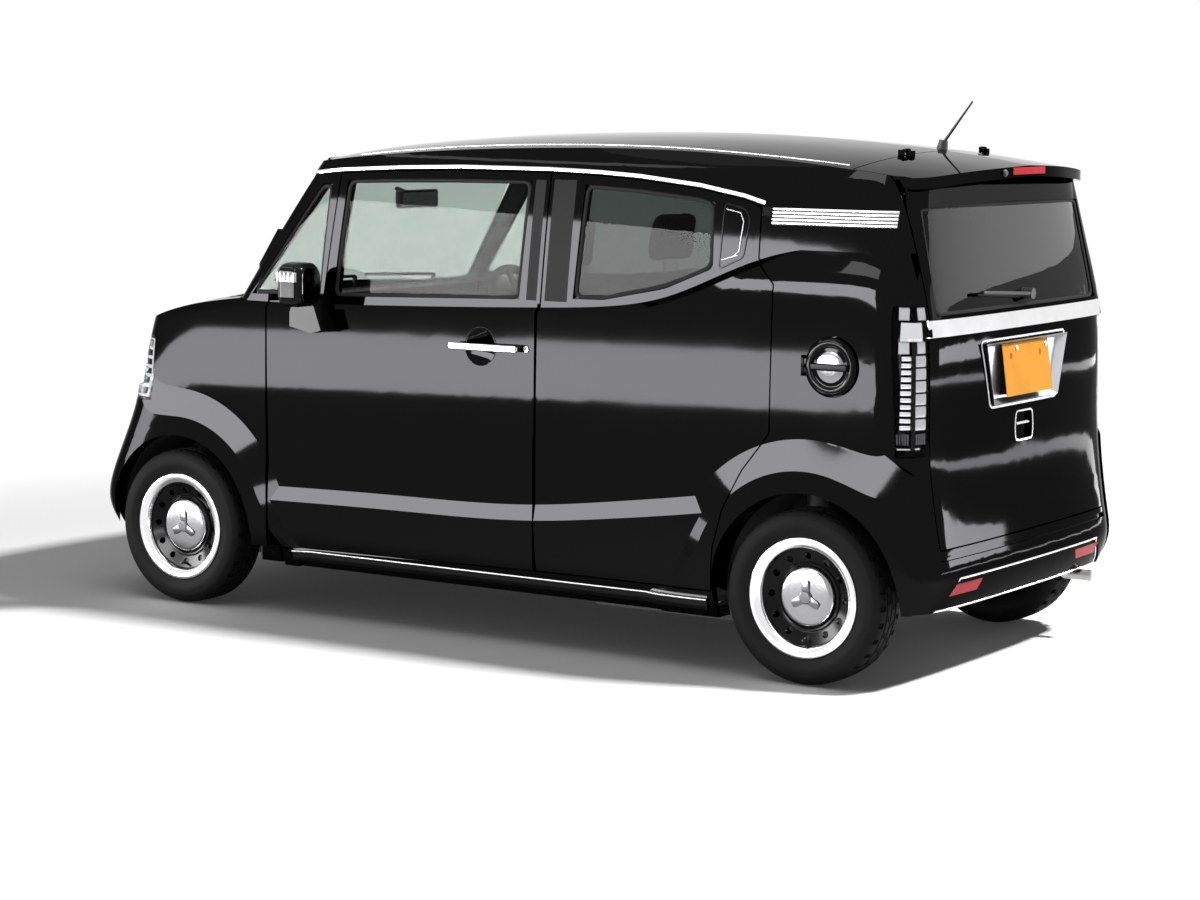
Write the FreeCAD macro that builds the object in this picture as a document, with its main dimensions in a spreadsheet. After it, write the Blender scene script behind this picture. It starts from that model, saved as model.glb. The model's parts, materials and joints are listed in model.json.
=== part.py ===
import FreeCAD, Part
import Sketcher
import math
import os

from FreeCAD import Vector

# A small boxy car: X forward, Y left, Z up, origin on the ground under its middle.

doc = FreeCAD.newDocument("KeiCar")
sheet = doc.addObject("Spreadsheet::Sheet", "Sizes")

SIZES = {
    # Whole car
    "halfLength": 1697.5, "halfWidth": 737.5, "roofHeight": 1670,
    "frontOverhang": 445, "rearOverhang": 430, "track": 1305,
    # Body skin: depths are measured inwards from the outer surface
    "skinHalfWidth": 716, "skin": 20, "pillarDepth": 55, "cabinHalfWidth": 628,
    "beltDrop": 50, "bulge": 12, "bulgeRamp": 55, "flareRadius": 490, "flareLip": 392,
    "spoilerDepth": 34, "spoilerHalfWidth": 592,
    # Wheels and their housings
    "tyreRadius": 272, "tyreWidth": 155, "rimRadius": 178, "rimWidth": 128,
    "archRadius": 325, "wheelhouseInner": 400, "wheelhouseWall": 12, "spindleRadius": 15,
    "ventRadius": 11, "ventCircle": 128,
    # Side doors
    "doorSkin": 22, "doorInnerY": 656, "doorGap": 5, "doorInset": 34,
    "frontSeamX": 858, "centreSeamX": -269,
    "doorHingeBack": 42, "doorHingeInset": 22, "doorEdgeRake": 8, "hingePinRadius": 6,
    "hingeKnuckleRadius": 11, "pinClearance": 0.05,
    "handleX": -80, "handleZ": 978, "handleLength": 270, "gripX": -50, "gripRadius": 62,
    "gripDepth": 13,
    # Glass
    "glassDepth": 8, "glassThickness": 5,
    # Tailgate, bonnet and fuel lid
    "tailgateHingeX": -1358, "tailgateHingeY": 250, "tailgateHingeZ": 1627.5,
    "tailgatePinRadius": 3.5, "tailgateWall": 40, "tailgateHalfWidth": 606,
    "bonnetHingeX": 1104, "bonnetHingeZ": 1076, "bonnetPinRadius": 5, "bonnetHalfWidth": 612,
    "fuelLidX": -1352, "fuelLidZ": 985, "fuelLidRadius": 88, "fuelLidThickness": 16,
    # Bumpers
    "rearBumperBottom": 246, "frontBumperBottom": 205, "bumperWall": 28,
    "plateBoltSpacing": 210, "plateBoltZ": 470, "plateBoltRadius": 3.5,
    # Floor and what hangs under it
    "floorBottom": 180, "floorThickness": 30, "rearFloorHeight": 400,
    "engineLength": 420, "engineWidth": 660, "engineHeight": 480, "engineX": 1250,
    "engineBottom": 330, "tankLength": 520, "tankWidth": 760, "tankHeight": 57.7,
    "tankRear": -860, "tankY": 80, "pipeClearance": 0.3, "exhaustRadius": 20, "exhaustY": -360,
    "kingpinY": 600, "kingpinRadius": 9, "strutRadius": 26, "strutY": 522, "beamRadius": 30,
    # Cabin
    "steeringWheelX": 500, "steeringWheelY": -330, "steeringWheelZ": 1000,
    "steeringWheelRadius": 180, "steeringRimRadius": 14, "hubRadius": 46, "steeringWheelTilt": 28,
    "columnRadius": 26, "shaftRadius": 10,
    "seatY": 320, "seatWidth": 480, "frontSeatX": 60, "rearSeatX": -760, "rearSeatWidth": 540,
    # Number plate and aerial
    "plateWidth": 330, "plateHeight": 165, "plateThickness": 2, "plateX": -1660, "plateZ": 950,
    "plateLean": 8, "antennaX": -1300, "antennaY": -80,
}
for row, (name, value) in enumerate(SIZES.items(), start=1):
    sheet.set(f"A{row}", name)
    sheet.set(f"B{row}", str(value))
    sheet.setAlias(f"B{row}", name)
doc.recompute()


def size(name):
    return float(sheet.get(name))


halfLength = size("halfLength")
halfWidth = size("halfWidth")
skinY = size("skinHalfWidth")
skinRise = halfWidth - skinY
frontAxle = halfLength - size("frontOverhang")
rearAxle = size("rearOverhang") - halfLength
wheelY = size("track") / 2
tyreRadius = size("tyreRadius")
archRadius = size("archRadius")
cabinY = size("cabinHalfWidth")
skin = size("skin")
gap = size("doorGap")
seamX = size("frontSeamX")
centreSeam = size("centreSeamX")
roofTop = size("roofHeight")
FAR = 3000.0
parts = {}
nodes = {}


# Shape helpers. Every panel is made on the left side and mirrored to the right.

def prism(points, axis, start, end):
    """A polygon in the plane across an axis, pushed from start to end along it."""
    places = {"x": lambda p: Vector(start, p[0], p[1]),
              "y": lambda p: Vector(p[0], start, p[1]),
              "z": lambda p: Vector(p[0], p[1], start)}
    pushes = {"x": Vector(end - start, 0, 0), "y": Vector(0, end - start, 0),
              "z": Vector(0, 0, end - start)}
    corners = [places[axis](p) for p in points]
    return Part.Face(Part.makePolygon(corners + corners[:1])).extrude(pushes[axis])


def grown(points, amount):
    """The same polygon in X and Z, larger all round by an amount."""
    wire = Part.makePolygon([Vector(x, z, 0) for x, z in points + points[:1]])
    wide = wire.makeOffset2D(amount, 2) if amount else wire
    return [(v.Point.x, v.Point.y) for v in wide.OrderedVertexes]


def box(x0, x1, y0, y1, z0, z1):
    return Part.makeBox(x1 - x0, y1 - y0, z1 - z0, Vector(x0, y0, z0))


def rod(radius, start, end):
    start, end = Vector(*start), Vector(*end)
    return Part.makeCylinder(radius, (end - start).Length, start, end - start)


def cone(r0, r1, start, end):
    start, end = Vector(*start), Vector(*end)
    return Part.makeCone(r0, r1, (end - start).Length, start, end - start)


def fused(shapes):
    first, rest = shapes[0], shapes[1:]
    return first.multiFuse(rest).removeSplitter() if rest else first


def mirrored(shape):
    return shape.mirror(Vector(0, 0, 0), Vector(0, 1, 0))


def both(shape):
    """Left half and its mirror image, joined where they meet."""
    return shape.fuse(mirrored(shape)).removeSplitter()


def pair(shape):
    return Part.makeCompound([shape, mirrored(shape)])


def splineFace(poles):
    def knots(count):
        return list(range(count - 2)), [4] + [1] * (count - 4) + [4]
    knotsU, multsU = knots(len(poles))
    knotsV, multsV = knots(len(poles[0]))
    surface = Part.BSplineSurface()
    surface.buildFromPolesMultsKnots(poles, multsU, multsV, knotsU, knotsV, False, False, 3, 3)
    return surface.toShape()


def solidOf(faces):
    shell = Part.Shell(faces)
    shell.sewShape()
    solid = Part.Solid(shell)
    if solid.Volume < 0:
        solid.reverse()
    return solid


def closedWall(levels, ring):
    """A half solid from a wall that runs round the car from nose to tail."""
    rings = [ring(*level) for level in levels]
    poles = [[Vector(x, y, level[0]) for (x, y), level in zip(column, levels)]
             for column in zip(*rings)]
    wallFace = splineFace(poles)
    faces = [wallFace]
    middle = [e for e in wallFace.Edges if e.BoundBox.YMax < 0.001]
    for edge in wallFace.Edges:
        if edge.BoundBox.ZMax - edge.BoundBox.ZMin < 0.001:
            chord = Part.makeLine(edge.Vertexes[0].Point, edge.Vertexes[-1].Point)
            faces.append(Part.Face(Part.Wire(Part.__sortEdges__([edge, chord]))))
            middle.append(chord)
    faces.append(Part.Face(Part.Wire(Part.__sortEdges__(middle))))
    return solidOf(faces)


# Lower body: height, nose, tail and half width of the wall, below the windows.

LOWER_LEVELS = [
    (176, -98, 72, -40), (225, -50, 30, -28), (285, -6, 4, -14), (350, 10, -10, -5),
    (430, -12, 10, 0), (560, -76, 30, 0), (700, -142, 44, 0), (800, -155, 46, 0),
    (950, -190, 45, -3), (1080, -233, 50, -7), (1200, -278, 70, -11),
    (1270, -308, 86, -18), (1330, -328, 112, -50),
]


def lowerWall(depth, wider=0.0):
    """The lower body shrunk by a depth all round, then made wider at its sides only."""
    def ring(height, nose, tail, side):
        front = halfLength + nose - depth
        rear = -halfLength + tail + depth
        wide = skinY + side - depth + wider
        return [(front, 0), (front, 0.33 * wide), (front - 20, wide - 250), (front - 50, wide),
                (front - 320, wide), (500, wide + 3), (-500, wide + 3), (rear + 250, wide),
                (rear + 30, wide), (rear + 8, wide - 190), (rear, 0.33 * wide), (rear, 0)]
    return closedWall(LOWER_LEVELS, ring)


# Windows and roof sides: height, windscreen, rear window and half width.

UPPER_LEVELS = [
    (1082, 1092, -1652, 694), (1180, 1030, -1636, 682), (1300, 953, -1610, 666),
    (1420, 876, -1586, 648), (1520, 812, -1568, 630), (1560, 786, -1561, 622),
    (1600, 760, -1554, 606), (1640, 734, -1547, 572), (1690, 700, -1538, 530),
]


def upperWall(depth):
    def ring(height, nose, tail, side):
        front, rear, wide = nose - depth, tail + depth, side - depth
        return [(front, 0), (front, 0.36 * wide), (front - 30, wide - 130), (front - 78, wide),
                (front - 220, wide), (200, wide + 2), (-600, wide + 2), (rear + 190, wide),
                (rear + 22, wide), (rear + 6, wide - 150), (rear, 0.36 * wide), (rear, 0)]
    return closedWall(UPPER_LEVELS, ring)


def under(crest, crown, wide, depth, bottom):
    """A half solid below a crest line that falls away to the side."""
    crest = sorted(crest)
    rows = []
    for x, z in crest:
        rows.append([Vector(x, wide * k / 4, z - depth - crown * (k / 4) ** 2) for k in range(5)])
    top = splineFace(rows)
    faces = [top]
    corners = []
    for edge in top.Edges:
        a, b = edge.Vertexes[0].Point, edge.Vertexes[-1].Point
        la, lb = Vector(a.x, a.y, bottom), Vector(b.x, b.y, bottom)
        wire = [edge, Part.makeLine(a, la), Part.makeLine(la, lb), Part.makeLine(lb, b)]
        faces.append(Part.Face(Part.Wire(Part.__sortEdges__(wire))))
        corners += [la, lb]
    x0, x1 = crest[0][0], crest[-1][0]
    base = [Vector(x0, 0, bottom), Vector(x1, 0, bottom), Vector(x1, wide, bottom),
            Vector(x0, wide, bottom)]
    faces.append(Part.Face(Part.makePolygon(base + base[:1])))
    return solidOf(faces)


ROOF_CREST = [(1100, -190), (900, -115), (780, -72), (620, -46), (380, -27), (100, -10),
              (-250, -1), (-560, 2), (-850, -6), (-1100, -22), (-1300, -38), (-1480, -60),
              (-1640, -84), (-1760, -104)]
HOOD_CREST = [(840, 1142), (980, 1128), (1100, 1114), (1220, 1096), (1340, 1066), (1430, 1030),
              (1500, 982), (1560, 920), (1640, 820), (1740, 690)]


def roofSolid(depth):
    return under([(x, roofTop + z) for x, z in ROOF_CREST], 72, 760, depth, 900)


def hoodSolid(depth):
    return under(HOOD_CREST, 46, 760, depth, 100)


# The belt: the line where the sides step in under the windows.

BELT = [(1760, 690), (1560, 900), (1400, 1003), (1200, 1056), (1000, 1084), (780, 1094),
        (450, 1102), (100, 1112), (-250, 1124), (-509, 1137), (-740, 1172), (-980, 1256),
        (-1160, 1306), (-1400, 1324), (-1760, 1330)]


def slanted(line, end, y0, lift0, y1, lift1):
    """The solid on one side of a line that slants as it goes out from y0 to y1."""
    def section(y, lift):
        edge = Part.BSplineCurve()
        points = [Vector(x, y, z + lift) for x, z in line]
        edge.interpolate(points)
        far = [Vector(points[k].x, y, end) for k in (-1, 0)]
        return Part.Wire([edge.toShape(), Part.makeLine(points[-1], far[0]),
                          Part.makeLine(*far), Part.makeLine(far[1], points[0])])
    return Part.makeLoft([section(y0, lift0), section(y1, lift1)], True, True)


def aboveBelt(depth):
    drop = size("beltDrop")
    return slanted(BELT, 2200, skinY - 56, 18 - depth, halfWidth + 22, -drop - 22 - depth)


# The doors swell out below a crease that rises from the front wheel to the rear one.

CREASE = [(1000, 448), (832, 455), (290, 471), (-256, 487), (-560, 521), (-870, 562), (-1000, 581)]
bulge, ramp = size("bulge"), size("bulgeRamp")


def bulgeSolid():
    below = slanted(CREASE, 100, skinY - bulge, ramp, skinY + 2 * bulge, -2 * ramp)
    return below.common(lowerWall(0, bulge)).common(box(rearAxle, frontAxle, cabinY, FAR, 0, FAR))


def flare(axle):
    """A raised lip round the wheel opening."""
    lip, start = size("flareLip"), size("flareRadius")
    slope = (start - lip) / skinRise
    root = skinY - 40
    swell = cone(start + slope * (skinY - root), lip, (axle, root, tyreRadius),
                 (axle, halfWidth, tyreRadius))
    limit = rod(start + 40, (axle, root - 1, tyreRadius), (axle, FAR, tyreRadius))
    return swell.common(limit).common(lowerWall(0, skinRise))


def archCut(axle):
    return rod(archRadius, (axle, size("wheelhouseInner"), tyreRadius), (axle, FAR, tyreRadius))


doorSkin = size("doorSkin")
pillar = size("pillarDepth")
gateWall = size("tailgateWall")
glassOut = size("glassDepth")
glassIn = glassOut + size("glassThickness")
lower = {d: lowerWall(d) for d in {0.0, skin, doorSkin, doorSkin + gap, gateWall}}
upper = {d: upperWall(d) for d in {-gap, 0.0, glassOut, glassIn, skin, doorSkin, doorSkin + gap,
                                   gateWall, pillar}}
roof = {d: roofSolid(d) for d in {0.0, skin, gateWall}}
hood = {d: hoodSolid(d) for d in {0.0, skin}}


def core(depth):
    """The body's left half, shrunk by a depth all round."""
    return lower[depth].cut(aboveBelt(depth)).fuse(upper[depth])


belowBelt = lower[0.0].cut(aboveBelt(0))
nose = box(930, FAR, 0, FAR, 0, FAR)
hooded = belowBelt.common(hood[0.0])
tail = box(-FAR, 930, 0, FAR, 0, FAR)
lowerOuter = fused([belowBelt.common(tail), hooded.common(nose)])
upperOuter = upper[0.0].common(roof[0.0])
arches = fused([archCut(frontAxle), archCut(rearAxle)])
swells = [flare(frontAxle), flare(rearAxle), bulgeSolid()]
lowerSkin = lowerOuter.fuse(swells).cut(arches)
outer = lowerSkin.fuse(upperOuter)

# Openings in the side, in X and Z.

FRONT_DOOR = [(790, 238), (842, 300), (852, 700), (seamX, 1088), (622, 1100), (590, 1527),
              (345, 1539), (98, 1546), (centreSeam + 0.5, 1545), (centreSeam + 0.5, 258)]
REAR_DOOR = [(centreSeam - 0.5, 258), (centreSeam - 0.5, 1545), (-455, 1539), (-607, 1530),
             (-832, 1507), (-998, 1478), (-1060, 1455), (-1066, 1300), (-1139, 1225),
             (-1139, 770), (-1050, 650), (-985, 520), (-952, 400), (-938, 261)]
ROOF_EDGE = [(716, 1519), (585, 1531), (344, 1543), (98, 1550), (-261, 1549), (-455, 1543),
             (-607, 1534), (-832, 1511), (-998, 1482), (-1101, 1456), (-1760, 1456),
             (-1760, 1900), (1200, 1900), (1200, 1519)]
FRONT_WINDOW = [(582, 1112), (560, 1502), (345, 1512), (98, 1518), (-196, 1516), (-184, 1136)]
REAR_WINDOW = [(-392, 1146), (-404, 1510), (-607, 1502), (-832, 1480), (-892, 1465),
               (-905, 1262), (-735, 1192), (-509, 1148)]
QUARTER_WINDOW = [(636, 1114), (626, 1488), (668, 1488), (942, 1106)]

frontLeaf = grown(FRONT_DOOR, -gap / 2)
rearLeaf = grown(REAR_DOOR, -gap / 2)


def through(points, margin=0.0):
    return prism(grown(points, margin), "y", 300, FAR)


doorCore = core(doorSkin)
rebateCore = core(doorSkin + gap)
cabinBox = box(-1590, 1000, 0, cabinY, 0, 1100)
rearBox = box(-1590, -1142, 0, cabinY, 1000, 1330)
cabinUpper = upper[pillar].common(box(-FAR, FAR, 0, FAR, 1085, FAR))

# Hinges of the side doors: an upright pin behind each leading edge.

hingeBack = size("doorHingeBack")
hingeY = skinY - size("doorHingeInset")
frontHingeX = seamX - size("doorEdgeRake") - hingeBack
rearHingeX = centreSeam - 0.5 - gap / 2 - hingeBack
sweep = math.hypot(hingeBack + 4, skinY + 2 - hingeY) + gap


def hingeRelief(x):
    """Room for a door's leading edge to turn inwards round its pin."""
    low = rod(sweep, (x, hingeY, 256 if x < 0 else 236), (x, hingeY, 1120))
    high = cone(sweep, sweep + 66, (x, hingeY, 1120), (x, hingeY, 1548))
    return low.fuse(high) if x < 0 else low


# Body side: sill, pillars and quarter, open for the doors, windows, lamps and wheels.

LAMP_SIDE = [(-1540, 1176), (-1540, 1100), (-1563, 764), (-1563, 722), (-1800, 722), (-1800, 1176)]
lampZone = prism(LAMP_SIDE, "y", 606, FAR)
BUMPER_SIDE = [(-1560, 0), (-1590, 560), (-1602, 640), (-1800, 640), (-1800, 0)]
aboveBumper = prism([(-1, 436), (603, 436), (603, 700), (-1, 700)], "x", -1800, -1400)
bumperZone = prism(BUMPER_SIDE, "y", 0, FAR).cut(aboveBumper)
bumperZone = bumperZone.cut(box(-FAR, 0, 0, FAR, 0, size("rearBumperBottom")))
gateWide = size("tailgateHalfWidth")
TAILGATE = [(-1, 441), (gateWide - 16, 441), (gateWide - 4, 700), (gateWide, 1062),
            (gateWide, 1800), (-1, 1800)]
tailgateX = size("tailgateHingeX")


def tailgateZone(margin):
    wire = [(y + (margin if y > 0 else 0), z - (margin if z < 500 else 0)) for y, z in TAILGATE]
    return prism(wire, "x", -1900, tailgateX + margin)


SIDE = [(928, 150), (928, 1040), (1010, 1092), (716, 1519)] + ROOF_EDGE[1:11] + [(-1760, 150)]
wingZone = prism([(seamX, 1100), (seamX, 1088), (852, 700), (842, 300), (790, 238),
                  (790, 100), (1800, 100), (1800, 1100)], "y", 0, FAR)
WINDSCREEN = [(-1, 1102), (652, 1102), (566, 1574), (-1, 1584)]
screenZone = prism(WINDSCREEN, "x", 500, 1300)
tailgateOpening = tailgateZone(gap)

frontCore = lower[skin].cut(aboveBelt(skin)).common(hood[skin])
wellR = archRadius + size("wheelhouseWall")
wellY = size("wheelhouseInner")
frontDrum = rod(wellR, (frontAxle, wellY - 12, tyreRadius), (frontAxle, FAR, tyreRadius))
rearDrum = rod(wellR, (rearAxle, wellY - 12, tyreRadius), (rearAxle, FAR, tyreRadius))
bulkX = frontAxle - wellR + 25

side = outer.common(prism(SIDE, "y", 0, FAR))
side = side.cut([cabinBox, rearBox, cabinUpper])
for doorway in (FRONT_DOOR, REAR_DOOR):
    wide = through(doorway, gap / 2)
    side = side.cut(wide.cut(rebateCore))
    pillarFace = (frontHingeX if doorway is FRONT_DOOR else rearHingeX) - 11
    inner = through(doorway, gap - size("doorInset"))
    side = side.cut(inner.common(box(-FAR, pillarFace, 0, FAR, 0, FAR)))
side = side.cut([wingZone.cut(frontCore.fuse(upper[0.0])), frontDrum, through(QUARTER_WINDOW),
                 screenZone, lampZone, bumperZone, tailgateOpening, hingeRelief(frontHingeX),
                 hingeRelief(rearHingeX)])
lidAxis = (size("fuelLidX"), size("fuelLidZ"))
lidR = size("fuelLidRadius")
lidPocket = rod(lidR + gap, (lidAxis[0], skinY - 45, lidAxis[1]), (lidAxis[0], FAR, lidAxis[1]))
lidHingeX = lidAxis[0] + lidR + 8
lidHingeY = skinY + 1
lidNotch = box(lidHingeX - 20, lidHingeX + 11, skinY - 45, FAR, lidAxis[1] - 32, lidAxis[1] + 32)
pinR = size("hingePinRadius")
knuckleR = size("hingeKnuckleRadius")
fit = size("pinClearance")
HINGE_HEIGHTS = (400, 880)


def doorPins(x):
    """Arms from the pillar with upright pins, which the door's knuckles turn on."""
    pieces = []
    for z in HINGE_HEIGHTS:
        pieces.append(box(x - pinR, x + pinR, cabinY, hingeY, z, z + 10))
        pieces.append(rod(pinR, (x, hingeY, z), (x, hingeY, z + 60)))
    return pieces


side = max(side.Solids, key=lambda solid: solid.Volume)
side = fused([side] + doorPins(frontHingeX) + doorPins(rearHingeX))
lidArm = box(lidHingeX - 4, lidHingeX + 4, skinY - 48, lidHingeY, lidAxis[1] - 5, lidAxis[1] + 5)
lidPin = rod(4, (lidHingeX, lidHingeY, lidAxis[1] - 24), (lidHingeX, lidHingeY, lidAxis[1] + 24))
fuelSide = side.cut([lidPocket, lidNotch]).fuse([lidArm, lidPin]).removeSplitter()
parts["body_side_left"] = fuelSide
parts["body_side_right"] = mirrored(side)

# Roof skin with its side rails and the strip over the windscreen.

ROOF = ROOF_EDGE
roofHalf = upperOuter.common(prism(ROOF, "y", 0, FAR))
roofHalf = roofHalf.cut(upper[pillar].common(roof[skin]))
roofHalf = roofHalf.cut([screenZone, tailgateOpening])
gateX, gateY, gateZ = tailgateX, size("tailgateHingeY"), size("tailgateHingeZ")
gatePinR = size("tailgatePinRadius")
roofHalf = fused([roofHalf, rod(gatePinR, (gateX, gateY + 2, gateZ), (gateX, gateY + 34, gateZ)),
                  rod(6, (gateX, gateY + 28, gateZ), (gateX, gateY + 36, gateZ)),
                  box(gateX, gateX + 20, gateY + 28, gateY + 36, gateZ - 24, gateZ + 3)])
parts["roof_panel"] = both(roofHalf)

# Wings: the skin outside the wheels, back to the front door's seam.

bonnetSide = size("bonnetHalfWidth") + gap
wingY = bonnetSide
noseHalf = lowerSkin.common(nose.fuse(wingZone)).cut(upper[-gap])
fasciaLow = size("frontBumperBottom")
FASCIA = [(-1, 690), (800, 690), (800, fasciaLow), (-1, fasciaLow)]
fasciaZone = prism(FASCIA, "x", frontAxle + 60, FAR)
LAMP = [(445, 712), (800, 712), (800, 940), (445, 940)]
headlampZone = prism(LAMP, "x", 1380, FAR)
GRILLE = [(-1, 690), (445, 690), (445, 945), (-1, 945)]
grilleZone = prism(GRILLE, "x", 1380, FAR)
wing = noseHalf.cut(frontCore).common(wingZone)
wing = wing.cut([box(0, FAR, 0, wingY, 0, 1300), fasciaZone, headlampZone,
                 hingeRelief(frontHingeX)])
wing = wing.cut([box(0, FAR, 0, FAR, 0, 236), box(0, seamX + 60, 0, skinY - 40, 0, FAR)])
wing = max(wing.Solids, key=lambda solid: solid.Volume)
parts["front_wing_left"] = wing
parts["front_wing_right"] = mirrored(wing)

# Bonnet: it turns on its rear corners.

bonnetX = size("bonnetHingeX")
bonnetPinZ = size("bonnetHingeZ")
bonnetPinR = size("bonnetPinRadius")
REAR_EDGE = [(41, -1), (36, 250), (20, 480), (6, bonnetSide - gap)]
bonnetPlan = [(bonnetX + x, y) for x, y in REAR_EDGE] + [(1640, bonnetSide - gap), (1640, -1)]
bonnetHalf = noseHalf.cut(frontCore).common(prism(bonnetPlan, "z", 955, 1300))
bonnetHalf = max(bonnetHalf.Solids, key=lambda solid: solid.Volume)
bonnetHalf = bonnetHalf.cut(box(0, bonnetX + 24, bonnetSide - 40, bonnetSide - 20, 0, FAR))
bonnetHalf = fused([
    bonnetHalf,
    rod(9, (bonnetX, bonnetSide - 64, bonnetPinZ), (bonnetX, bonnetSide - 40, bonnetPinZ)),
    box(bonnetX, bonnetX + 26, bonnetSide - 64, bonnetSide - 40, bonnetPinZ - 8, bonnetPinZ + 4)])
bonnetHalf = bonnetHalf.cut(rod(bonnetPinR + fit, (bonnetX, bonnetSide - 70, bonnetPinZ),
                                (bonnetX, bonnetSide - 30, bonnetPinZ)))
parts["bonnet"] = both(bonnetHalf)

# Nose: bumper, grille and headlamps.

bumperWall = size("bumperWall")
bumperCore = lowerWall(bumperWall)
bumper = noseHalf.cut(bumperCore).common(fasciaZone)
bumper = max(bumper.Solids, key=lambda solid: solid.Volume)
INTAKE = [(-1, 262), (400, 262), (430, 300), (400, 342), (-1, 342)]
intake = prism(INTAKE, "x", 1400, FAR).cut(lowerWall(bumperWall / 2))
plateHole = rod(size("plateBoltRadius"), (1400, size("plateBoltSpacing") / 2, size("plateBoltZ")),
                (FAR, size("plateBoltSpacing") / 2, size("plateBoltZ")))
parts["front_bumper"] = both(bumper.cut([intake, plateHole]))
grille = noseHalf.cut(bumperCore).common(grilleZone)
grille = max(grille.Solids, key=lambda solid: solid.Volume)
SLOTS = (722, 767, 812, 857)
slotHeight, slotEnd = 22, 405
grille = grille.cut([box(1380, FAR, -1, slotEnd, z, z + slotHeight) for z in SLOTS])
parts["grille"] = both(grille)
headlamp = noseHalf.cut(lowerWall(60)).common(headlampZone)
headlamp = headlamp.common(box(1380, FAR, 0, FAR, 0, FAR))
headlamp = max(headlamp.Solids, key=lambda solid: solid.Volume)
parts["headlamps"] = pair(headlamp)

# Doors: an outer skin, an inner frame and a window in each.


def door(leaf, window, hingeX):
    skinLayer = outer.common(prism(leaf, "y", 300, FAR)).cut(doorCore)
    inset = grown(leaf, -size("doorInset"))
    inner = doorCore.common(prism(inset, "y", 300, FAR))
    inner = inner.cut([box(-FAR, FAR, 0, size("doorInnerY"), 0, 1100),
                       box(hingeX - pinR - 11, FAR, 0, FAR, 0, FAR),
                       upper[pillar - 8].common(box(-FAR, FAR, 0, FAR, 1085, FAR))])
    knuckles = []
    for z in HINGE_HEIGHTS:
        knuckles.append(rod(knuckleR, (hingeX, hingeY, z + 11), (hingeX, hingeY, z + 55)))
        knuckles.append(box(hingeX - pinR - 20, hingeX, hingeY - 5, hingeY + 5, z + 11, z + 55))
    whole = fused([skinLayer, inner] + knuckles)
    whole = whole.cut([rod(pinR + fit, (hingeX, hingeY, z), (hingeX, hingeY, z + 70))
                       for z in HINGE_HEIGHTS])
    whole = whole.cut(prism(window, "y", 300, FAR))
    whole = whole.cut([box(hingeX - knuckleR - 4, hingeX + pinR + 25, 0, hingeY + 8, z - 8, z + 11)
                       for z in HINGE_HEIGHTS])
    return max(whole.Solids, key=lambda solid: solid.Volume)


def gripBowl():
    """A shallow round hollow behind the handle, for the fingers."""
    radius, depth = size("gripRadius"), size("gripDepth")
    ball = (radius ** 2 + depth ** 2) / (2 * depth)
    return Part.makeSphere(ball, Vector(size("gripX"), skinY - depth + ball, size("handleZ")))


def pane(window):
    return upper[glassOut].cut(upper[glassIn]).common(prism(window, "y", 300, FAR))


upper[pillar - 8] = upperWall(pillar - 8)


def seamRoom(radius, top):
    """Room in the front door's rear edge for the rear door's leading edge, open inwards."""
    turn = rod(radius, (rearHingeX, hingeY, 200), (rearHingeX, hingeY, top))
    return turn.fuse(box(rearHingeX, rearHingeX + radius, 0, hingeY, 200, top))


creaseRoom, creaseTop = 3, 700
frontDoor = door(frontLeaf, FRONT_WINDOW, frontHingeX).cut(
    [seamRoom(sweep, 1125), seamRoom(sweep + creaseRoom, creaseTop), gripBowl()])
rearDoor = door(rearLeaf, REAR_WINDOW, rearHingeX)
for name, leaf in (("front_door", frontDoor), ("rear_door", rearDoor)):
    parts[name + "_left"] = leaf
    parts[name + "_right"] = mirrored(leaf)
for name, window in (("front_door_glass", FRONT_WINDOW), ("rear_door_glass", REAR_WINDOW)):
    glass = pane(window)
    parts[name + "_left"] = glass
    parts[name + "_right"] = mirrored(glass)
parts["quarter_windows"] = pair(pane(QUARTER_WINDOW))
screen = upper[glassOut].cut(upper[glassIn]).common(screenZone)
parts["windscreen"] = both(max(screen.Solids, key=lambda solid: solid.Volume))

# Tailgate with its spoiler and window.

SPOILER_EDGE = [(-1653, 0), (-1643, 230), (-1612, 430), (-1550, size("spoilerHalfWidth"))]


def spoiler():
    """The roof skin carried back past the rear window in a bowed lip."""
    lip = Part.BSplineCurve()
    points = [Vector(x, y, 1400) for x, y in SPOILER_EDGE]
    lip.interpolate(Points=points, InitialTangent=Vector(0, 1, 0), FinalTangent=Vector(1, 1, 0))
    front = [Vector(-1480, p.y, 1400) for p in (points[-1], points[0])]
    plan = Part.Wire([lip.toShape(), Part.makeLine(points[-1], front[0]),
                      Part.makeLine(*front), Part.makeLine(front[1], points[0])])
    slab = Part.Face(plan).extrude(Vector(0, 0, 400))
    return slab.common(roof[0.0]).cut(roofSolid(size("spoilerDepth")))


gate = outer.common(tailgateZone(0)).cut(lower[gateWall].cut(aboveBelt(gateWall)))
gate = gate.cut(upper[gateWall].common(roof[gateWall]))
GATE_ROOM = [(-1300, 1548), (-1524, 1548), (-1600, 1130), (-1606, 430), (-1300, 430)]
gate = gate.cut(prism(GATE_ROOM, "y", 0, FAR)).fuse(spoiler())
REAR_WINDOW_BACK = [(-1, 1142), (572, 1142), (560, 1462), (-1, 1470)]
rearPane = prism(REAR_WINDOW_BACK, "x", -1800, -1400)
PLATE_RECESS = ((-1664, [(-1, 846), (233, 846), (294, 1043), (-1, 1043)]),
                (-1634, [(-1, 862), (214, 862), (270, 1027), (-1, 1027)]))
recess = Part.makeLoft([Part.makePolygon([Vector(x, y, z) for y, z in corners + corners[:1]])
                        for x, corners in PLATE_RECESS], True, True)
plateX, plateZ = size("plateX"), size("plateZ")
plateW, plateH = size("plateWidth"), size("plateHeight")
bracket = box(plateX, plateX + 40, 0, plateW / 2 - 20, plateZ - plateH / 2 + 8, plateZ + plateH / 2 - 8)
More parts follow.
